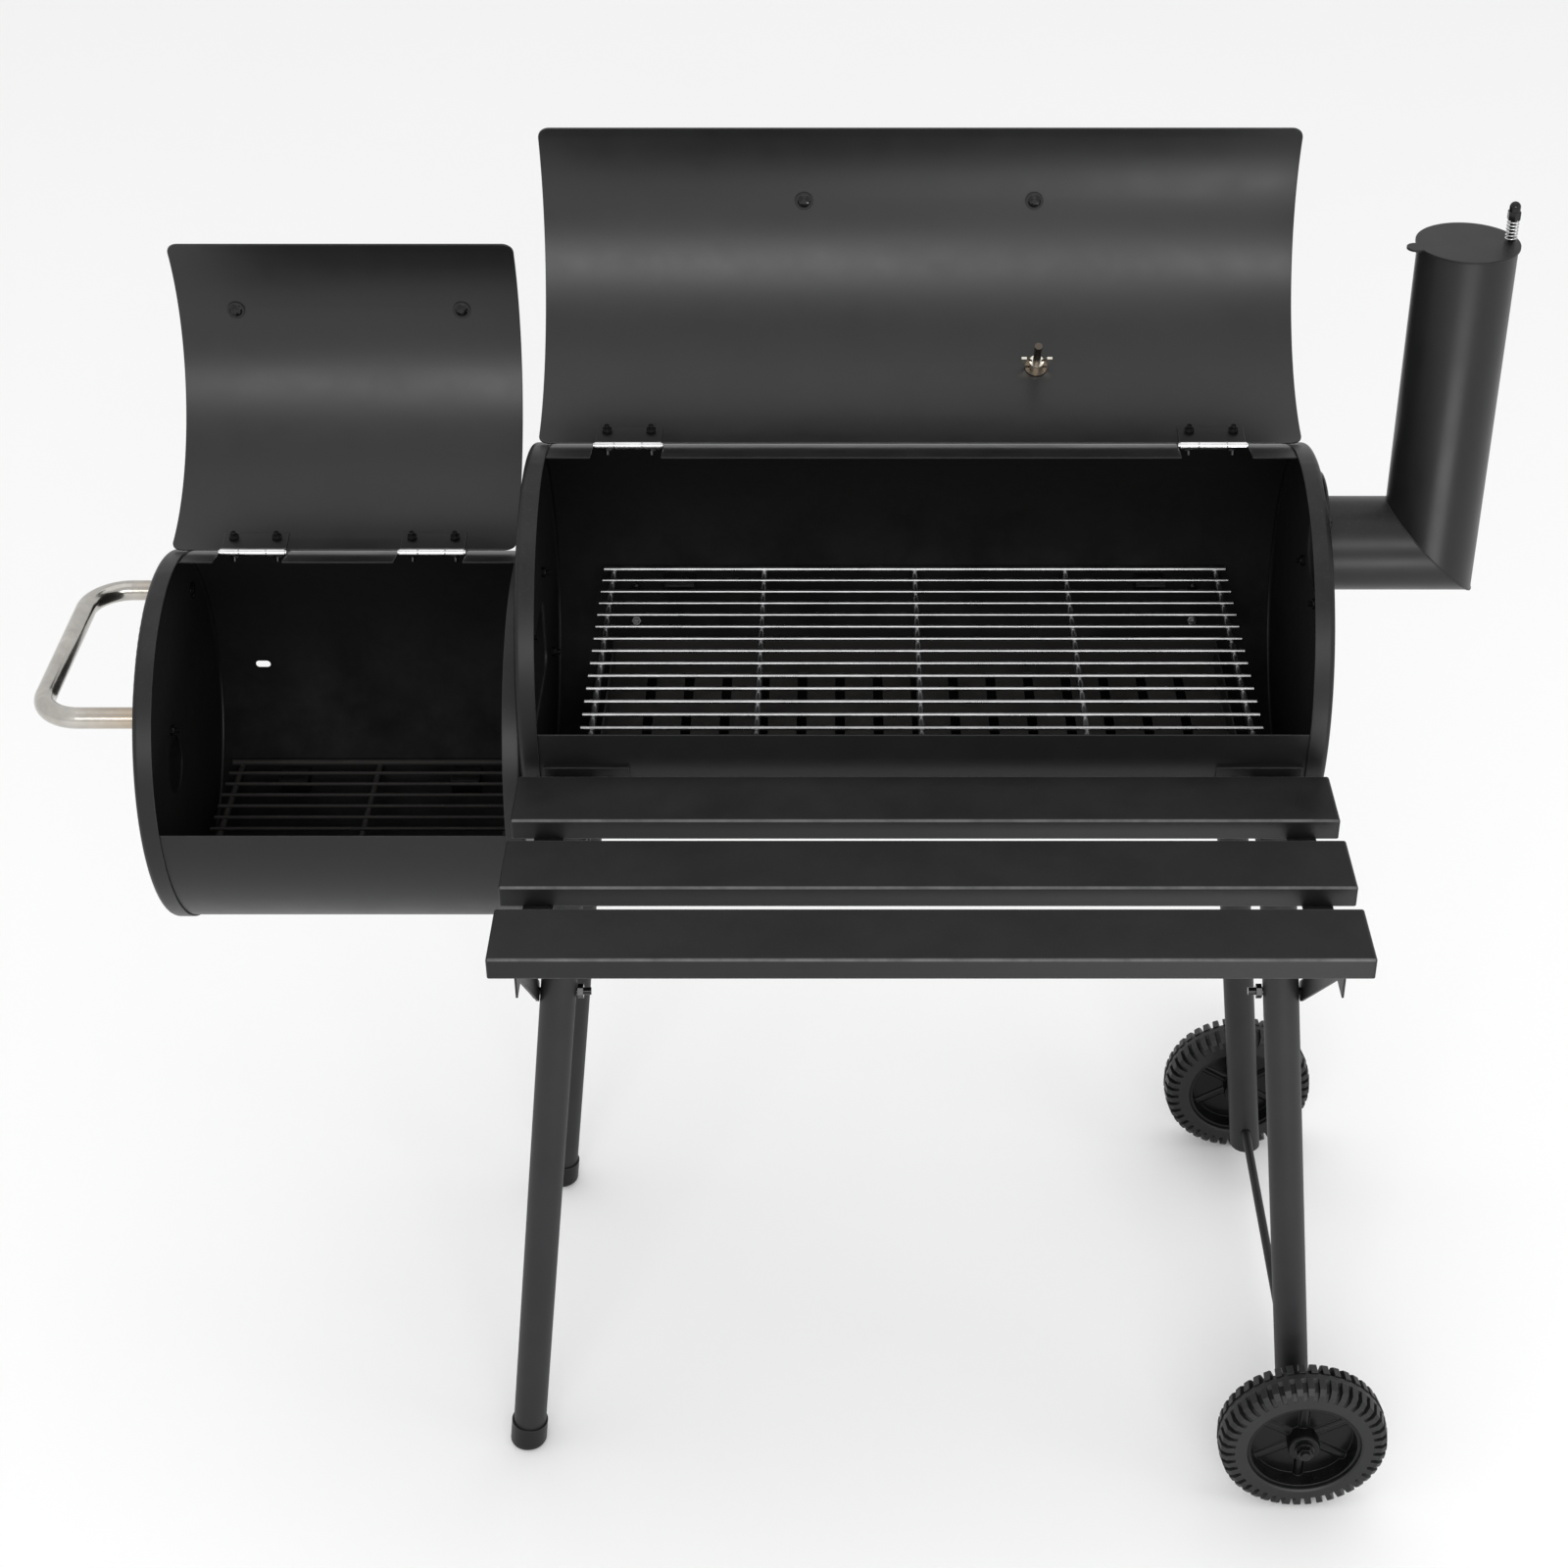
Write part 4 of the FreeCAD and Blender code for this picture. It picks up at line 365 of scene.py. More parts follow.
def worn_edge_group():
    """Mask of sharp edges, broken up, and the normal of the slightly rounded edge."""
    group, given, out = new_group(
        "Worn edges", [("Float", "Width", 0.0012), ("Float", "Wear", 0.6)],
        [("Float", "Mask"), ("Vector", "Rounded Normal")])
    rounded = add_node(group, "Bevel", samples=4)
    group.links.new(given["Width"], rounded.inputs["Radius"])
    face = add_node(group, "NewGeometry")
    dot = add_node(group, "VectorMath", operation="DOT_PRODUCT")
    group.links.new(rounded.outputs[0], dot.inputs[0])
    group.links.new(face.outputs["Normal"], dot.inputs[1])
    bend = math_node(group, "SUBTRACT", 1.0, dot.outputs["Value"])
    sharp = ramp(group, bend, low=0.015, high=0.22)
    lumps = noise(group, own_place(group), scale=95.0, detail=4.0, rough=0.65)
    broken = ramp(group, lumps, low=0.32, high=0.62, to_low=0.45)
    mask = math_node(group, "MULTIPLY", math_node(group, "MULTIPLY", sharp, broken), given["Wear"],
                     clamp=True)
    group.links.new(mask, out["Mask"])
    group.links.new(rounded.outputs[0], out["Rounded Normal"])


def settled_dust_group():
    """Mask of thin dust on faces that look up."""
    group, given, out = new_group("Settled dust", [("Float", "Amount", 0.2)], [("Float", "Mask")])
    coords = add_node(group, "TexCoord")
    parts = add_node(group, "SeparateXYZ")
    group.links.new(coords.outputs["Normal"], parts.inputs[0])
    upward = ramp(group, parts.outputs[2], low=0.35)
    clouds = noise(group, coords.outputs["Object"], scale=19.0, detail=6.0, rough=0.7)
    grains = noise(group, coords.outputs["Object"], scale=640.0, detail=2.0, rough=0.5)
    patches = ramp(group, clouds, low=0.36, high=0.72)
    specks = ramp(group, grains, low=0.60, high=0.72)
    patch_share, speck_share = 0.5, 0.6
    both = math_node(group, "ADD", math_node(group, "MULTIPLY", patches, patch_share),
                     math_node(group, "MULTIPLY", specks, speck_share))
    mask = math_node(group, "MULTIPLY", math_node(group, "MULTIPLY", upward, both), given["Amount"],
                     clamp=True)
    group.links.new(mask, out["Mask"])


def drum_inside_group():
    """Mask of the faces inside one drum, with the uneven edge of the soot and painted shade that darken
    it.
    """
    group, given, out = new_group(
        "Drum inside",
        [("Float", "Middle X", 0.0), ("Float", "Half Length", 0.3), ("Float", "Axis Y", 0.0),
         ("Float", "Axis Z", 0.7), ("Float", "Radius", 0.15)],
        [("Float", "Mask"), ("Float", "Soot And Shade")])
    place = own_place(group)
    squares, parts = radius_squared(group, place, given["Axis Y"], given["Axis Z"])
    near = math_node(group, "LESS_THAN", math_node(group, "SQRT", squares), given["Radius"])
    along = math_node(group, "ABSOLUTE", math_node(group, "SUBTRACT", parts[0], given["Middle X"]))
    within = math_node(group, "LESS_THAN", along, given["Half Length"])
    mask = math_node(group, "MULTIPLY", near, within)
    group.links.new(mask, out["Mask"])
    clouds = noise(group, place, scale=13.0, detail=6.0, rough=0.68)
    cloud = ramp(group, clouds, low=0.3, high=0.7, to_low=0.55)
    group.links.new(math_node(group, "MULTIPLY", mask, cloud), out["Soot And Shade"])


def near_hinge_group():
    """Mask of the rolled knuckle round one hinge line."""
    group, given, out = new_group(
        "Near hinge line",
        [("Float", "Line Y", 0.0), ("Float", "Line Z", 0.0), ("Float", "Reach", 0.004)],
        [("Float", "Mask")])
    squares = radius_squared(group, own_place(group), given["Line Y"], given["Line Z"])[0]
    edge = math_node(group, "SUBTRACT", given["Reach"], math_node(group, "SQRT", squares))
    softness = 0.0002
    group.links.new(ramp(group, edge, low=-softness, high=softness), out["Mask"])


def rubbed_fold_group():
    """Mask of the rounded folds between a flat top and its turned-down sides that face up and forward,
    where a painted highlight goes.
    """
    group, given, out = new_group("Painted fold highlight", [("Float", "Wear", 0.6)], [("Float", "Mask")])
    coords = add_node(group, "TexCoord")
    parts = add_node(group, "SeparateXYZ")
    group.links.new(coords.outputs["Normal"], parts.inputs[0])
    slant = math_node(group, "ADD", math_node(group, "ABSOLUTE", parts.outputs[1]), parts.outputs[2])
    # Folds turned up and forward get the painted highlight; Wear sets how strong it is
    fold = ramp(group, slant, low=1.08, high=1.34)
    lumps = noise(group, coords.outputs["Object"], scale=60.0, detail=4.0, rough=0.65)
    broken = ramp(group, lumps, low=0.34, high=0.62, to_low=0.55)
    mask = math_node(group, "MULTIPLY", math_node(group, "MULTIPLY", fold, broken), given["Wear"],
                     clamp=True)
    group.links.new(mask, out["Mask"])


def drawn_metal_group():
    """Fine lines left by drawing or polishing, stretched along one direction."""
    group, given, out = new_group(
        "Drawn metal", [("Vector", "Stretch", (900.0, 60.0, 900.0))],
        [("Float", "Lines"), ("Float", "Smears")])
    place = own_place(group)
    scaled = add_node(group, "VectorMath", operation="MULTIPLY")
    group.links.new(place, scaled.inputs[0])
    group.links.new(given["Stretch"], scaled.inputs[1])
    group.links.new(noise(group, scaled.outputs[0], scale=1.0), out["Lines"])
    clouds = noise(group, place, scale=38.0, detail=5.0, rough=0.62)
    group.links.new(ramp(group, clouds, low=0.35, high=0.7), out["Smears"])


def build_groups():
    """Build each shared effect once."""
    builders = {
        "Sprayed coat": sprayed_coat_group,
        "Worn edges": worn_edge_group,
        "Settled dust": settled_dust_group,
        "Drum inside": drum_inside_group,
        "Near hinge line": near_hinge_group,
        "Painted fold highlight": rubbed_fold_group,
        "Drawn metal": drawn_metal_group,
    }
    for name, build in builders.items():
        if name not in bpy.data.node_groups:
            build()


# ---------------------------------------------------------------- materials

def new_material(name, **sockets):
    """Material with one Principled shader; constant values go straight on its sockets."""
    build_groups()
    material = bpy.data.materials.new(name)
    material.use_nodes = True
    tree = material.node_tree
    tree.nodes.clear()
    shader = add_node(tree, "BsdfPrincipled")
    output = add_node(tree, "OutputMaterial")
    tree.links.new(shader.outputs[0], output.inputs["Surface"])
    for label, value in sockets.items():
        shader.inputs[label.replace("_", " ")].default_value = value
    return material, tree, shader.inputs


def bump(tree, height, distance, strength, normal=None):
    """Normal tilted by a height, on top of another normal if there is one."""
    node = add_node(tree, "Bump", {"Distance": distance, "Strength": strength})
    tree.links.new(height, node.inputs["Height"])
    if normal is not None:
        tree.links.new(normal, node.inputs["Normal"])
    return node.outputs[0]


def coated_metal(name, colour, roughness, wear=0.35, dust=0.15, grain_depth=0.00005, drum=None,
                 edge_width=0.0012, specular=0.35, folds=0.0):
    """Sprayed coat with grain, thinned edges and dust, and a painted highlight on folds if asked; a
    drum's inside is darkened with soot and painted shade.
    """
    look = bpy.context.scene.smoker_finish
    material, tree, shader = new_material(name, Specular_IOR_Level=specular)
    coat = use_group(tree, "Sprayed coat", Grain_Size=look.grain_size)
    edges = use_group(tree, "Worn edges", Width=edge_width, Wear=wear)
    settled = use_group(tree, "Settled dust", Amount=dust)
    darker, lighter = (shade(colour, share) for share in COAT_PATCHES)
    base = blend_colours(tree, coat["Unevenness"], darker, lighter)
    base = blend_colours(tree, edges["Mask"], base, opaque(look.edge_colour))
    # Painted highlight: folds facing up and forward get the lighter edge colour, as if they caught the
    # front light
    if folds:
        fold_highlight = use_group(tree, "Painted fold highlight", Wear=folds)
        base = blend_colours(tree, fold_highlight["Mask"], base, opaque(look.edge_colour))
    base = blend_colours(tree, settled["Mask"], base, opaque(look.dust_colour))
    fall, rise = COAT_ROUGHNESS_SPREAD
    rough = ramp(tree, coat["Unevenness"], to_low=roughness - fall, to_high=roughness + rise)
    rough = math_node(tree, "ADD", rough, math_node(tree, "MULTIPLY", settled["Mask"], DUST_ROUGHNESS),
                      clamp=True)
    # Soot and painted shade: the inside of a drum is darkened to near-black, with a cloudy edge
    if drum is not None:
        inside = use_group(tree, "Drum inside", **drum)
        base = blend_colours(tree, inside["Soot And Shade"], base, opaque(SOOT_AND_SHADE_COLOUR))
        rough = ramp(tree, inside["Soot And Shade"], to_low=rough, to_high=SOOT_AND_SHADE_ROUGHNESS)
    tree.links.new(base, shader["Base Color"])
    tree.links.new(rough, shader["Roughness"])
    tree.links.new(bump(tree, coat["Grain"], grain_depth, strength=0.5, normal=edges["Rounded Normal"]),
                   shader["Normal"])
    return material


def moulded_plastic(name, colour, roughness, grain_size=0.0007, specular=0.3):
    """Moulded plastic with a fine skin, scuffed at the edges and a little dusty."""
    look = bpy.context.scene.smoker_finish
    material, tree, shader = new_material(name, Specular_IOR_Level=specular)
    skin = use_group(tree, "Sprayed coat", Grain_Size=grain_size)
    edges = use_group(tree, "Worn edges", Width=0.0009, Wear=0.35)
    settled = use_group(tree, "Settled dust", Amount=0.10)
    darker, lighter = (shade(colour, share) for share in MOULDING_PATCHES)
    base = blend_colours(tree, skin["Unevenness"], darker, lighter)
    base = blend_colours(tree, edges["Mask"], base, opaque(look.edge_colour))
    base = blend_colours(tree, settled["Mask"], base, opaque(look.dust_colour))
    tree.links.new(base, shader["Base Color"])
    fall, rise = MOULDING_ROUGHNESS_SPREAD
    rough = ramp(tree, skin["Unevenness"], to_low=roughness - fall, to_high=roughness + rise)
    tree.links.new(rough, shader["Roughness"])
    tree.links.new(bump(tree, skin["Grain"], distance=0.00006, strength=0.5,
                        normal=edges["Rounded Normal"]), shader["Normal"])
    return material


def bright_metal(name, colour, roughness, stretch, heated=None):
    """Plated or polished metal with drawn lines and faint smears, tinted up to a heated place on X."""
    material, tree, shader = new_material(name, Metallic=1.0)
    drawn = use_group(tree, "Drawn metal", Stretch=stretch)
    base = blend_colours(tree, drawn["Smears"], shade(colour, DULL_METAL), opaque(colour))
    if heated is not None:
        parts = add_node(tree, "SeparateXYZ")
        tree.links.new(own_place(tree), parts.inputs[0])
        warm = ramp(tree, parts.outputs[0], low=heated - HEAT_LENGTH, high=heated,
                    to_high=HEAT_STRENGTH)
        base = blend_colours(tree, warm, base, opaque(HEAT_COLOUR))
    tree.links.new(base, shader["Base Color"])
    lines = math_node(tree, "ADD", math_node(tree, "MULTIPLY", drawn["Lines"], LINE_ROUGHNESS),
                      math_node(tree, "MULTIPLY", drawn["Smears"], SMEAR_ROUGHNESS))
    tree.links.new(math_node(tree, "ADD", lines, roughness - METAL_ROUGHNESS_BASE, clamp=True),
                   shader["Roughness"])
    tree.links.new(bump(tree, drawn["Lines"], distance=0.00001, strength=0.35), shader["Normal"])
    return material


def finish_nodes(material, names):
    """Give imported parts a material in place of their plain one."""
    for name in names:
        part = NODES[name]
        part.data.materials.clear()
        part.data.materials.append(material)


def new_piece(name, mesh, material, body):
    """New object on a body, with its material."""
    piece = bpy.data.objects.new(name, mesh)
    bpy.context.scene.collection.objects.link(piece)
    piece.data.materials.append(material)
    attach(piece, body)
    return piece


# ---------------------------------------------------------------- small shapes

def bead_mesh(name, points, radius, sides=8, ripple=0.12):
    """Closed weld bead along a loop of points, with its ripples."""
    points_per_ripple = 3
    mesh = bmesh.new()
    rings = []
    count = len(points)
    for index, point in enumerate(points):
        ahead = (points[(index + 1) % count] - points[index - 1]).normalized()
        side = ahead.orthogonal() if index == 0 else (side - ahead * side.dot(ahead)).normalized()
        other = ahead.cross(side)
        swell = radius * (1 + ripple * math.sin(index * math.tau / points_per_ripple))
        rings.append([mesh.verts.new(point + (side * math.cos(turn) + other * math.sin(turn)) * swell)
                      for turn in (math.tau * step / sides for step in range(sides))])
    first = rings[0][0].co
    last = rings[-1]
    offset = min(range(sides), key=lambda step: (last[step].co - first).length)
    for index in range(count):
        here = rings[index]
        there = rings[(index + 1) % count]
        shift = offset if index == count - 1 else 0
        for step in range(sides):
            a = here[(step + shift) % sides]
            b = here[(step + 1 + shift) % sides]
            mesh.faces.new((a, b, there[(step + 1) % sides], there[step]))
    bmesh.ops.recalc_face_normals(mesh, faces=mesh.faces)
    for face in mesh.faces:
        face.smooth = True
    data = bpy.data.meshes.new(name)
    mesh.to_mesh(data)
    mesh.free()
    return data


def slabs_mesh(name, outlines, height, placing):
    """Thin flat slabs from outlines in a plane, placed by a matrix."""
    mesh = bmesh.new()
    for outline in outlines:
        low = [mesh.verts.new((x, y, 0)) for x, y in outline]
        high = [mesh.verts.new((x, y, height)) for x, y in outline]
        mesh.faces.new(high)
        mesh.faces.new(low[::-1])
        for index in range(len(outline)):
            after = (index + 1) % len(outline)
            mesh.faces.new((low[index], low[after], high[after], high[index]))
    mesh.transform(placing)
    bmesh.ops.recalc_face_normals(mesh, faces=mesh.faces)
    data = bpy.data.meshes.new(name)
    mesh.to_mesh(data)
    mesh.free()
    return data


def mesh_axis(node):
    """Centre and axis of a round disc-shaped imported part."""
    points = np.array([vertex.co for vertex in node.data.vertices])
    centre = (points.min(0) + points.max(0)) / 2
    spread = np.cov((points - points.mean(0)).T)
    thinnest = np.linalg.eigh(spread)[1][:, 0]
    return Vector(centre), Vector(thinnest)


def drum_space(cap_low, cap_high, left, right):
    """Inside of a drum, from one cap's box and the places of the drum's ends on X."""
    return {
        "Middle_X": (left + right) / 2,
        "Half_Length": (right - left) / 2 - SOOT_AND_SHADE_INSET,
        "Axis_Y": (cap_low.y + cap_high.y) / 2,
        "Axis_Z": (cap_low.z + cap_high.z) / 2,
        "Radius": (cap_high.y - cap_low.y) / 2 - RIM_CLEARANCE,
    }


def on_dial(turn):
    """Directions outward and sideways at an angle from the dial's top."""
    outward = Vector((math.sin(turn), math.cos(turn)))
    return outward, Vector((outward.y, -outward.x))


def number_mesh(context, figure):
    """Thin flat figures of one number, centred on the origin."""
    text = bpy.data.curves.new("dial_number", "FONT")
    text.body = str(figure)
    text.size = NUMBER_HEIGHT
    text.align_x = "CENTER"
    text.align_y = "CENTER"
    text.extrude = INK_HEIGHT / 2
    writer = bpy.data.objects.new("dial_number_writer", text)
    context.scene.collection.objects.link(writer)
    context.view_layer.update()
    graph = context.evaluated_depsgraph_get()
    mesh = bpy.data.meshes.new_from_object(writer.evaluated_get(graph))
    bpy.data.objects.remove(writer)
    mesh.materials.clear()
    return mesh


def dial_placing():
    """Matrix to the smoker's frame from the dial's plane, X to its right and Y to its top."""
    centre, normal = mesh_axis(NODES["thermometer_glass"])
    low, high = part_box("thermometer_stem")
    if normal.dot(centre - (low + high) / 2) < 0:
        normal = -normal
    hinge = HINGES["main_lid_hinge"]
    upward = Vector((centre.x, hinge.y, hinge.z)) - centre
    upward = (upward - normal * upward.dot(normal)).normalized()
    rightward = upward.cross(normal)
    placing = Matrix((rightward, upward, normal)).transposed().to_4x4()
    placing.translation = centre - normal * DIAL_GAP
    return placing


# ---------------------------------------------------------------- operators

class SMOKER_OT_chamber(bpy.types.Operator):
    """Finish the cooking chamber's barrel and end caps, darkened inside with soot and painted shade"""

    bl_idname = "smoker.chamber"
    bl_label = "Cooking Chamber"

    def execute(self, context):
        look = context.scene.smoker_finish
        drum = drum_space(CHAMBER_CAP_LOW, CHAMBER_CAP_HIGH, CHAMBER_LEFT_LOW.x, CHAMBER_CAP_HIGH.x)
        coat = coated_metal("chamber_coat", look.coat_colour, look.coat_roughness, drum=drum,
                            wear=0.25, specular=0.27)
        finish_nodes(coat, ["main_barrel", "main_left_cap", "main_right_cap"])
        return {"FINISHED"}


class SMOKER_OT_firebox(bpy.types.Operator):
    """Finish the firebox's barrel, end caps and air vent, darkened inside with soot and painted shade"""

    bl_idname = "smoker.firebox"
    bl_label = "Firebox"

    def execute(self, context):
        look = context.scene.smoker_finish
        drum = drum_space(FIREBOX_CAP_LOW, FIREBOX_CAP_HIGH, FIREBOX_CAP_LOW.x, FIREBOX_RIGHT_HIGH.x)
        coat = coated_metal("firebox_coat", look.coat_colour, look.coat_roughness, drum=drum,
                            specular=0.30)
        finish_nodes(coat, ["firebox_shell", "firebox_left_cap", "firebox_right_cap"])
        flap = coated_metal("vent_coat", look.coat_colour, look.coat_roughness, wear=0.8)
        finish_nodes(flap, ["air_vent_flap"])
        return {"FINISHED"}


class SMOKER_OT_lids(bpy.types.Operator):
    """Finish both curved lids"""

    bl_idname = "smoker.lids"
    bl_label = "Lids"

    def execute(self, context):
        look = context.scene.smoker_finish
        coat = coated_metal("lid_coat", look.coat_colour, look.coat_roughness - LID_SMOOTHER, dust=0.04,
                            specular=0.48)
        finish_nodes(coat, ["main_lid", "firebox_lid"])
        return {"FINISHED"}


class SMOKER_OT_chimney(bpy.types.Operator):
    """Finish the chimney and its damper, and lay the weld beads of the mitre and the flange"""

    bl_idname = "smoker.chimney"
    bl_label = "Chimney"

    def execute(self, context):
        look = context.scene.smoker_finish
        coat = coated_metal("chimney_coat", look.coat_colour, look.coat_roughness - CHIMNEY_SMOOTHER,
                            specular=0.33)
        finish_nodes(coat, ["chimney_pipe"])
        cover = coated_metal("damper_coat", look.coat_colour, look.coat_roughness, dust=0.06,
                             specular=0.2)
        finish_nodes(cover, ["damper_disc"])

        bead = context.scene.smoker_detail.bead_radius
        radius = context.scene.smoker_detail.pipe_radius
        middle_y = (PIPE_LOW.y + PIPE_HIGH.y) / 2
        level_z = PIPE_LOW.z + (PIPE_HIGH.y - PIPE_LOW.y) / 2
        upright_x = PIPE_HIGH.x - radius
        collar_x = PIPE_LOW.x + FLANGE_THICKNESS + bead / 2
        mitre = []
        collar = []
        for step in range(BEAD_STEPS):
            turn = math.tau * step / BEAD_STEPS
            across = math.cos(turn) * radius
            rise = math.sin(turn) * radius
            mitre.append(Vector((upright_x - rise, middle_y + across, level_z + rise)))
            collar.append(Vector((collar_x, middle_y + across, level_z + rise)))
        new_piece("chimney_mitre_bead", bead_mesh("chimney_mitre_bead", mitre, bead), coat,
                  "smoker_frame")
        thicker = bead_mesh("chimney_collar_bead", collar, bead * FLANGE_BEAD_SHARE)
        new_piece("chimney_collar_bead", thicker, coat, "smoker_frame")
        return {"FINISHED"}


class SMOKER_OT_shelf(bpy.types.Operator):
    """Finish the three shelf slats, with a painted highlight along their folds"""

    bl_idname = "smoker.shelf"
    bl_label = "Shelf Slats"

    def execute(self, context):
        look = context.scene.smoker_finish
        # The slats' folds get a painted highlight in the lighter edge colour
        coat = coated_metal("slat_coat", look.slat_colour, look.coat_roughness + SLAT_ROUGHER,
                            wear=1.0, dust=0.07, edge_width=0.0016, specular=0.23, folds=0.9)
        finish_nodes(coat, ["shelf_slat_front", "shelf_slat_middle", "shelf_slat_rear"])
        return {"FINISHED"}


class SMOKER_OT_legs(bpy.types.Operator):
    """Finish the legs, brackets, shelf arms, struts, grate rests, axle and spacers"""

    bl_idname = "smoker.legs"
    bl_label = "Legs and Brackets"

    def execute(self, context):
        look = context.scene.smoker_finish
        tube = coated_metal("leg_coat", look.tube_colour, roughness=0.50, wear=0.3,
                            grain_depth=0.00007, specular=0.20)
        finish_nodes(tube, ["leg_front_left", "leg_back_left", "leg_front_right", "leg_back_right"])
        bracket = coated_metal("bracket_coat", look.bracket_colour, roughness=0.42, specular=0.25)
        finish_nodes(bracket, ["leg_brackets", "shelf_arms", "shelf_struts", "grate_rests",
                               "axle", "axle_spacers"])
        return {"FINISHED"}


class SMOKER_OT_handles(bpy.types.Operator):
    """Finish the polished tube handles, warm-tinted where the side handle meets the firebox"""

    bl_idname = "smoker.handles"
    bl_label = "Tube Handles"

    def execute(self, context):
        look = context.scene.smoker_finish
        side = bright_metal("side_handle_steel", look.steel_colour, roughness=0.19,
                            stretch=(700.0, 50.0, 700.0), heated=FIREBOX_CAP_LOW.x)
        finish_nodes(side, ["side_handle"])
        lid = bright_metal("lid_handle_steel", look.steel_colour, roughness=0.19,
                           stretch=(50.0, 700.0, 700.0))
        finish_nodes(lid, ["main_lid_handle", "firebox_lid_handle"])
        return {"FINISHED"}


class SMOKER_OT_hinges(bpy.types.Operator):
    """Finish the hinges: bright knuckles and pins, coated leaves"""

    bl_idname = "smoker.hinges"
    bl_label = "Hinges"

    def execute(self, context):
        look = context.scene.smoker_finish
        material, tree, shader = new_material("hinge_metal")
        masks = []
        for name in ("main_lid_hinge", "firebox_lid_hinge"):
            line = HINGES[name]
            near = use_group(tree, "Near hinge line", Line_Y=line.y, Line_Z=line.z,
                             Reach=KNUCKLE_REACH)
            masks.append(near["Mask"])
        knuckle = math_node(tree, "MAXIMUM", masks[0], masks[1])
        coat = use_group(tree, "Sprayed coat", Grain_Size=look.grain_size)
        drawn = use_group(tree, "Drawn metal", Stretch=(60.0, 1200.0, 1200.0))
        edges = use_group(tree, "Worn edges", Width=0.0008, Wear=0.7)
        leaf = blend_colours(tree, edges["Mask"], opaque(look.coat_colour), opaque(look.edge_colour))
        plate = blend_colours(tree, drawn["Smears"], shade(look.plate_colour, DULL_PLATE),
                              opaque(look.plate_colour))
        tree.links.new(blend_colours(tree, knuckle, leaf, plate), shader["Base Color"])
        tree.links.new(knuckle, shader["Metallic"])
        shine = ramp(tree, drawn["Lines"], low=0.3, high=0.7, to_low=0.12, to_high=0.24)
        tree.links.new(ramp(tree, knuckle, to_low=0.42, to_high=shine), shader["Roughness"])
        tree.links.new(bump(tree, coat["Grain"], distance=0.00003, strength=0.3,
                            normal=edges["Rounded Normal"]), shader["Normal"])
        finish_nodes(material, ["hinge_body_leaves", "main_hinge_lid_leaves",
                                "firebox_hinge_lid_leaves"])
        pin = bright_metal("pin_plate", look.plate_colour, roughness=0.2,
                           stretch=(60.0, 900.0, 900.0))
        finish_nodes(pin, ["hinge_pins"])
        return {"FINISHED"}


class SMOKER_OT_screws(bpy.types.Operator):
    """Finish the screws, bolts and nuts"""

    bl_idname = "smoker.screws"
    bl_label = "Screws and Bolts"

    def execute(self, context):
        look = context.scene.smoker_finish
        gloss = coated_metal("screw_black", look.bracket_colour, roughness=0.10, wear=0.08, dust=0.0,
                             grain_depth=0.000004, edge_width=0.0004, specular=0.30)
        finish_nodes(gloss, ["hinge_body_screws", "main_hinge_lid_screws", "firebox_hinge_lid_screws",
                             "firebox_joint_screws", "leg_bracket_screws", "chimney_screws",
                             "side_handle_screws", "main_lid_handle_screws",
                             "firebox_lid_handle_screws", "slat_studs", "frame_bolts", "air_vent_bolt",
                             "axle_nuts", "damper_acorn_nut", "damper_bolt"])
        spring = bright_metal("spring_wire", look.plate_colour, roughness=0.2,
                              stretch=(500.0, 500.0, 500.0))
        finish_nodes(spring, ["damper_spring"])
        return {"FINISHED"}


class SMOKER_OT_grates(bpy.types.Operator):
    """Finish the cooking grate, the fire grate and the charcoal tray"""

    bl_idname = "smoker.grates"
    bl_label = "Grates and Tray"

    def execute(self, context):
        look = context.scene.smoker_finish
        wire = bright_metal("grate_wire", shade(look.plate_colour, SMOKED_WIRE), roughness=0.30,
                            stretch=(40.0, 700.0, 700.0))
        finish_nodes(wire, ["cooking_grate"])
        scorched = coated_metal("scorched_steel", SCORCHED_COLOUR, roughness=0.66, dust=0.30,
                                grain_depth=0.0001)
        finish_nodes(scorched, ["firebox_charcoal_grate", "charcoal_tray"])
        return {"FINISHED"}


class SMOKER_OT_wheels(bpy.types.Operator):
    """Finish the tyres, the moulded wheel centres and the foot caps"""

    bl_idname = "smoker.wheels"
    bl_label = "Wheels and Feet"

    def execute(self, context):
        look = context.scene.smoker_finish
        tyre = moulded_plastic("tyre_moulding", look.tyre_colour, roughness=0.44, grain_size=0.0009)
        finish_nodes(tyre, ["wheel_front_tyre", "wheel_back_tyre"])
        centre = moulded_plastic("wheel_moulding", look.wheel_colour, roughness=0.25, specular=0.20)
        finish_nodes(centre, ["wheel_front_rim", "wheel_back_rim"])
        foot = moulded_plastic("foot_moulding", look.wheel_colour, roughness=0.46)
        finish_nodes(foot, ["foot_caps"])
        return {"FINISHED"}


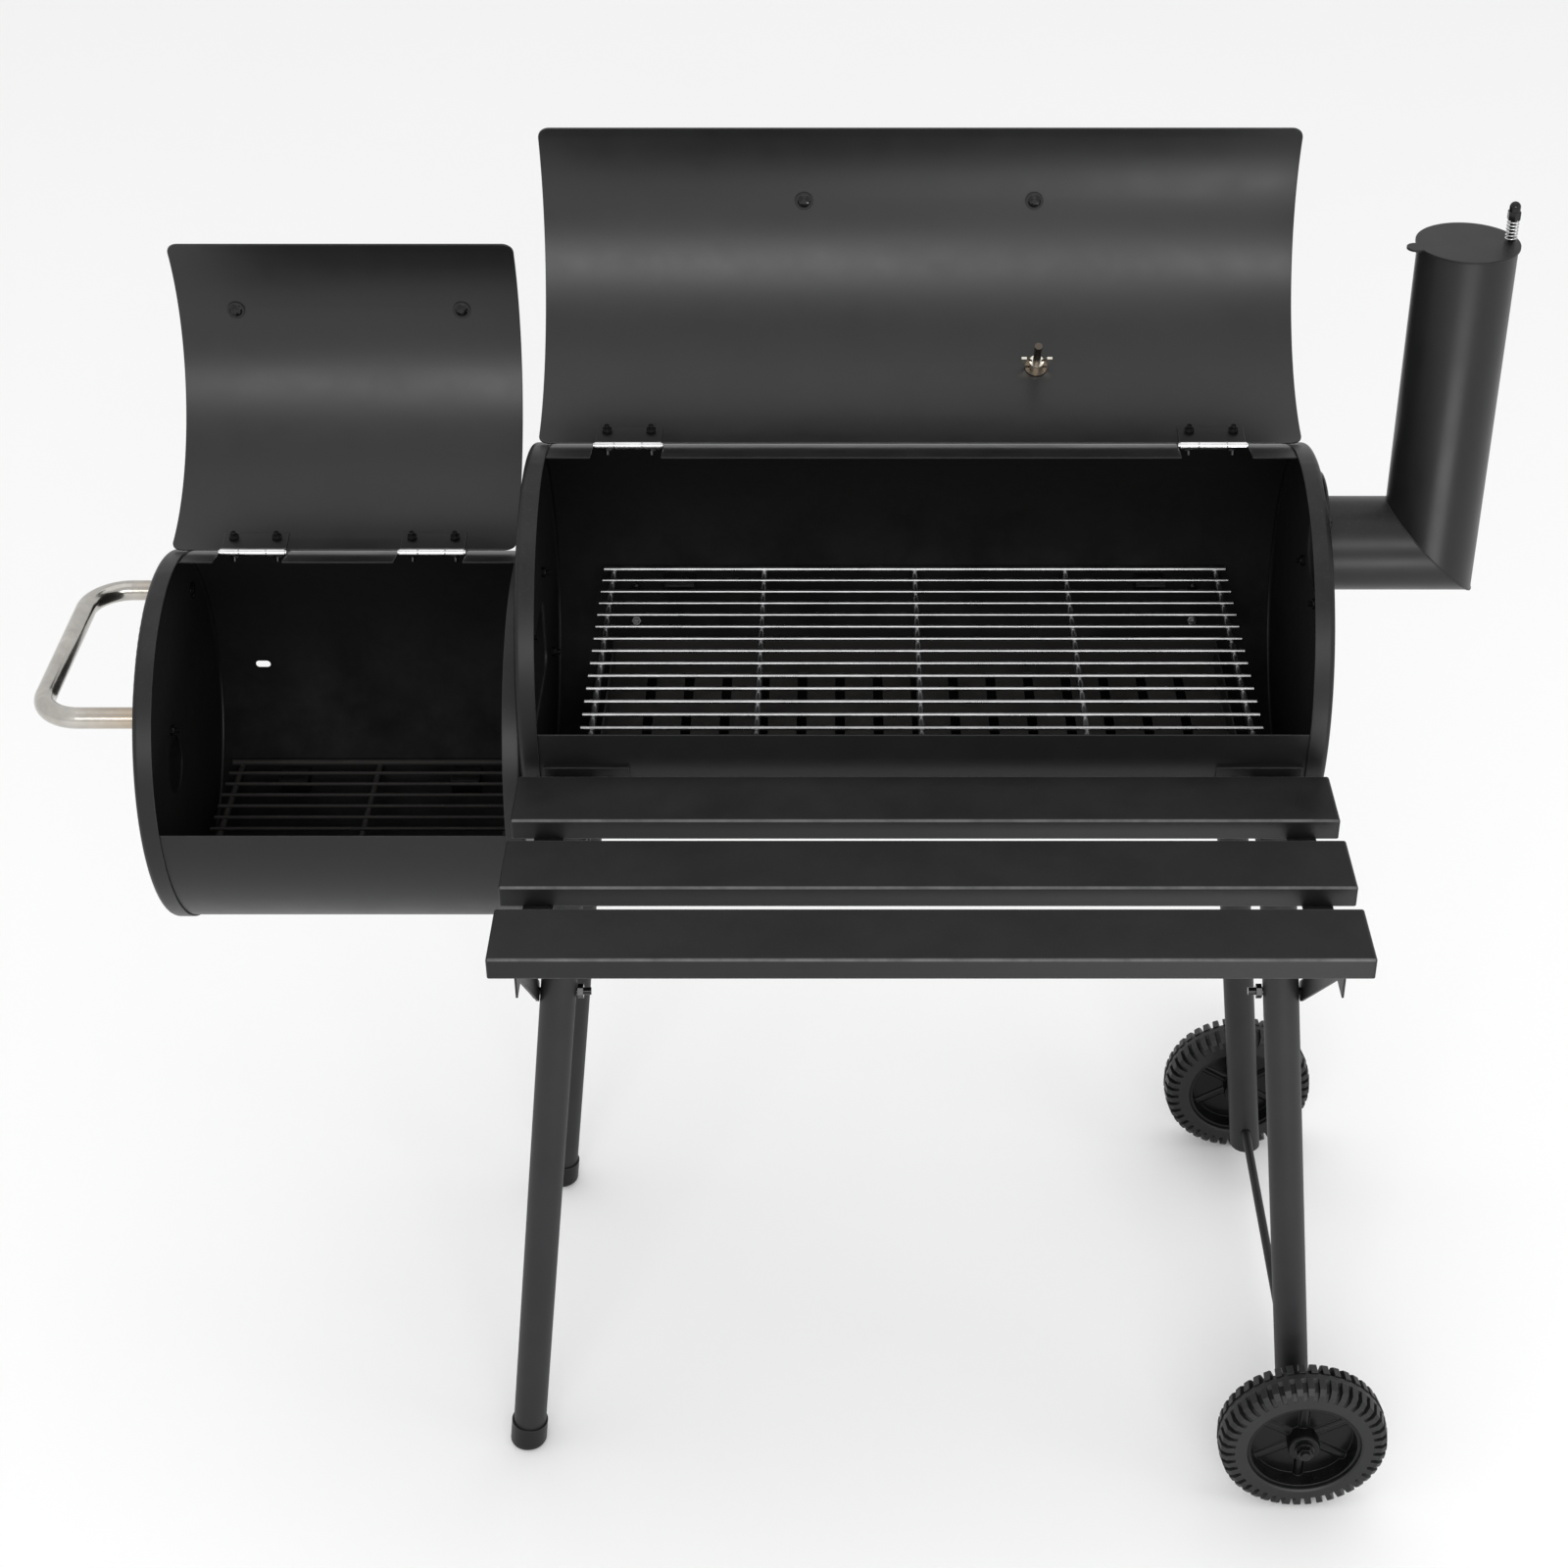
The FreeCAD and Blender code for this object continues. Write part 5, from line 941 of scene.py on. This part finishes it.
class SMOKER_OT_thermometer(bpy.types.Operator):
    """Finish the thermometer and print its dial with marks, numbers and a needle"""

    bl_idname = "smoker.thermometer"
    bl_label = "Thermometer"

    def execute(self, context):
        look = context.scene.smoker_finish
        detail = context.scene.smoker_detail
        case = bright_metal("gauge_case_plate", look.plate_colour, roughness=0.18,
                            stretch=(400.0, 400.0, 400.0))
        finish_nodes(case, ["thermometer_case"])
        nut = bright_metal("wing_nut_plate", WING_NUT_COLOUR, roughness=0.2,
                           stretch=(300.0, 300.0, 60.0))
        finish_nodes(nut, ["thermometer_wing_nut"])
        stem = bright_metal("smoked_stem", STEM_COLOUR, roughness=0.34, stretch=(300.0, 300.0, 60.0))
        finish_nodes(stem, ["thermometer_stem"])

        glass, tree, shader = new_material("gauge_glass_pane", Transmission_Weight=1.0, IOR=1.46)
        smears = use_group(tree, "Drawn metal", Stretch=(30.0, 30.0, 30.0))["Smears"]
        tree.links.new(ramp(tree, smears, to_high=0.05), shader["Roughness"])
        tree.links.new(blend_colours(tree, smears, opaque(CLEAR_GLASS), opaque(SMEARED_GLASS)),
                       shader["Base Color"])
        finish_nodes(glass, ["thermometer_glass"])

        face, tree, shader = new_material("dial_face", Specular_IOR_Level=0.4)
        paper = use_group(tree, "Sprayed coat", Grain_Size=0.0004)
        tree.links.new(blend_colours(tree, paper["Unevenness"], opaque(DIM_PAPER), opaque(CLEAN_PAPER)),
                       shader["Base Color"])
        tree.links.new(ramp(tree, paper["Unevenness"], to_low=0.38, to_high=0.5), shader["Roughness"])
        tree.links.new(bump(tree, paper["Grain"], distance=0.00001, strength=0.2), shader["Normal"])
        finish_nodes(face, ["thermometer_dial"])

        ink = coated_metal("dial_ink", INK_COLOUR, roughness=0.5, wear=0.0, dust=0.0,
                           grain_depth=0.000005)
        red = coated_metal("needle_paint", NEEDLE_COLOUR, roughness=0.4, wear=0.0, dust=0.0,
                           grain_depth=0.000005)
        placing = dial_placing()
        self.print_marks(detail, placing, ink)
        self.print_numbers(context, detail, placing, ink)
        self.fit_needle(detail, placing, red, case)
        return {"FINISHED"}

    def print_marks(self, detail, placing, ink):
        """Print the ring of short and long marks."""
        outlines = []
        for mark in range(detail.dial_marks):
            turn = detail.dial_sweep * (mark / (detail.dial_marks - 1) - 0.5)
            length, half_width = SHORT_MARK_LENGTH, SHORT_MARK_HALF_WIDTH
            if mark % MARKS_PER_LONG_ONE == 0:
                length, half_width = LONG_MARK_LENGTH, LONG_MARK_HALF_WIDTH
            outward, sideways = on_dial(turn)
            outer = outward * detail.dial_scale_radius
            inner = outward * (detail.dial_scale_radius - length)
            side = sideways * half_width
            outlines.append([tuple(corner) for corner in
                             (inner - side, outer - side, outer + side, inner + side)])
        new_piece("dial_marks", slabs_mesh("dial_marks", outlines, INK_HEIGHT, placing), ink,
                  "main_lid")

    def print_numbers(self, context, detail, placing, ink):
        """Print the numbers inside the ring of marks."""
        for index, figure in enumerate(NUMBERS):
            turn = detail.dial_sweep * (index / (len(NUMBERS) - 1) - 0.5)
            middle = on_dial(turn)[0] * (detail.dial_scale_radius - NUMBER_INSET)
            mesh = number_mesh(context, figure)
            mesh.transform(placing @ Matrix.Translation((middle.x, middle.y, INK_HEIGHT / 2)))
            new_piece("dial_number_%d" % (index + 1), mesh, ink, "main_lid")

    def fit_needle(self, detail, placing, red, case):
        """Fit the needle and the hub that holds it."""
        outward, sideways = on_dial(detail.needle_turn - detail.dial_sweep / 2)
        tip = outward * (detail.dial_scale_radius - NEEDLE_TIP_INSET)
        tail = outward * -NEEDLE_TAIL_LENGTH
        tip_side = sideways * NEEDLE_TIP_HALF_WIDTH
        tail_side = sideways * NEEDLE_TAIL_HALF_WIDTH
        blade = [tuple(corner) for corner in
                 (tail - tail_side, tip - tip_side, tip + tip_side, tail + tail_side)]
        turns = [step * math.tau / HUB_SIDES for step in range(HUB_SIDES)]
        hub = [(math.cos(turn) * HUB_RADIUS, math.sin(turn) * HUB_RADIUS) for turn in turns]
        lift = placing @ Matrix.Translation((0, 0, NEEDLE_LIFT))
        new_piece("dial_needle", slabs_mesh("dial_needle", [blade], NEEDLE_THICKNESS, lift), red,
                  "main_lid")
        lift = placing @ Matrix.Translation((0, 0, HUB_LIFT))
        new_piece("dial_needle_hub", slabs_mesh("dial_needle_hub", [hub], HUB_THICKNESS, lift), case,
                  "main_lid")


class SMOKER_OT_studio(bpy.types.Operator):
    """Lay the pale floor, hang the soft lights and set up the camera"""

    bl_idname = "smoker.studio"
    bl_label = "Studio"

    def soft_light(self, context, name, place, target, width, height, power):
        """Hang one flat soft light that faces its target."""
        lamp = bpy.data.lights.new(name, "AREA")
        lamp.shape = "RECTANGLE"
        lamp.size = width
        lamp.size_y = height
        lamp.energy = power
        holder = bpy.data.objects.new(name, lamp)
        holder.location = place
        holder.rotation_euler = (Vector(target) - Vector(place)).to_track_quat("-Z", "Y").to_euler()
        context.scene.collection.objects.link(holder)

    def execute(self, context):
        room = context.scene.smoker_studio
        mesh = bmesh.new()
        bmesh.ops.create_grid(mesh, x_segments=8, y_segments=8, size=room.floor_size / 2)
        data = bpy.data.meshes.new("floor")
        mesh.to_mesh(data)
        mesh.free()
        floor = bpy.data.objects.new("floor", data)
        context.scene.collection.objects.link(floor)
        material, tree, shader = new_material("floor_paint", Specular_IOR_Level=0.2)
        soft = noise(tree, own_place(tree), scale=1.7)
        dim = shade(room.floor_colour, FLOOR_DIM_SHARE)
        tree.links.new(blend_colours(tree, soft, dim, opaque(room.floor_colour)), shader["Base Color"])
        tree.links.new(ramp(tree, soft, to_low=0.7, to_high=0.8), shader["Roughness"])
        floor.data.materials.append(material)

        world = bpy.data.worlds.new("studio_room")
        world.use_nodes = True
        sky = world.node_tree.nodes["Background"].inputs
        sky["Color"].default_value = (1, 1, 1, 1)
        sky["Strength"].default_value = room.sky_strength
        context.scene.world = world
        for name, place, target, width, height, power, share in SOFT_LIGHTS:
            self.soft_light(context, name, place, target, width, height, getattr(room, power) * share)

        lens = bpy.data.cameras.new("smoker_camera")
        lens.lens = room.camera_lens
        lens.sensor_width = SENSOR_WIDTH
        lens.shift_x = room.camera_shift
        lens.clip_end = VIEW_END
        camera = bpy.data.objects.new("smoker_camera", lens)
        camera.location = room.camera_place
        camera.rotation_euler = (math.pi / 2 - room.camera_pitch, 0, 0)
        context.scene.collection.objects.link(camera)
        context.scene.camera = camera
        context.scene.view_settings.view_transform = "Standard"
        return {"FINISHED"}


class SMOKER_PT_panel(bpy.types.Panel):
    """Sidebar panel that lists the smoker's operators and settings"""

    bl_idname = "SMOKER_PT_panel"
    bl_label = "Offset Smoker"
    bl_space_type = "VIEW_3D"
    bl_region_type = "UI"
    bl_category = "Smoker"

    def draw(self, context):
        scene = context.scene
        for settings in (scene.smoker_finish, scene.smoker_detail, scene.smoker_studio):
            column = self.layout.column()
            for name in settings.__annotations__:
                column.prop(settings, name)
        for operator in OPERATORS:
            self.layout.operator(operator.bl_idname)


OPERATORS = (SMOKER_OT_chamber, SMOKER_OT_firebox, SMOKER_OT_lids, SMOKER_OT_chimney, SMOKER_OT_shelf,
             SMOKER_OT_legs, SMOKER_OT_handles, SMOKER_OT_hinges, SMOKER_OT_screws, SMOKER_OT_grates,
             SMOKER_OT_wheels, SMOKER_OT_thermometer, SMOKER_OT_studio)
SETTINGS = {"smoker_finish": SmokerFinishSettings, "smoker_detail": SmokerDetailSettings,
            "smoker_studio": SmokerStudioSettings}
CLASSES = tuple(SETTINGS.values()) + OPERATORS + (SMOKER_PT_panel,)


def register():
    for listed in CLASSES:
        bpy.utils.register_class(listed)
    for name, group in SETTINGS.items():
        setattr(bpy.types.Scene, name, PointerProperty(type=group))


def unregister():
    for name in SETTINGS:
        delattr(bpy.types.Scene, name)
    for listed in reversed(CLASSES):
        bpy.utils.unregister_class(listed)


def main():
    register()
    for operator in OPERATORS:
        group, name = operator.bl_idname.split(".")
        getattr(getattr(bpy.ops, group), name)()
    bpy.context.view_layer.update()


if __name__ == "__main__":
    main()
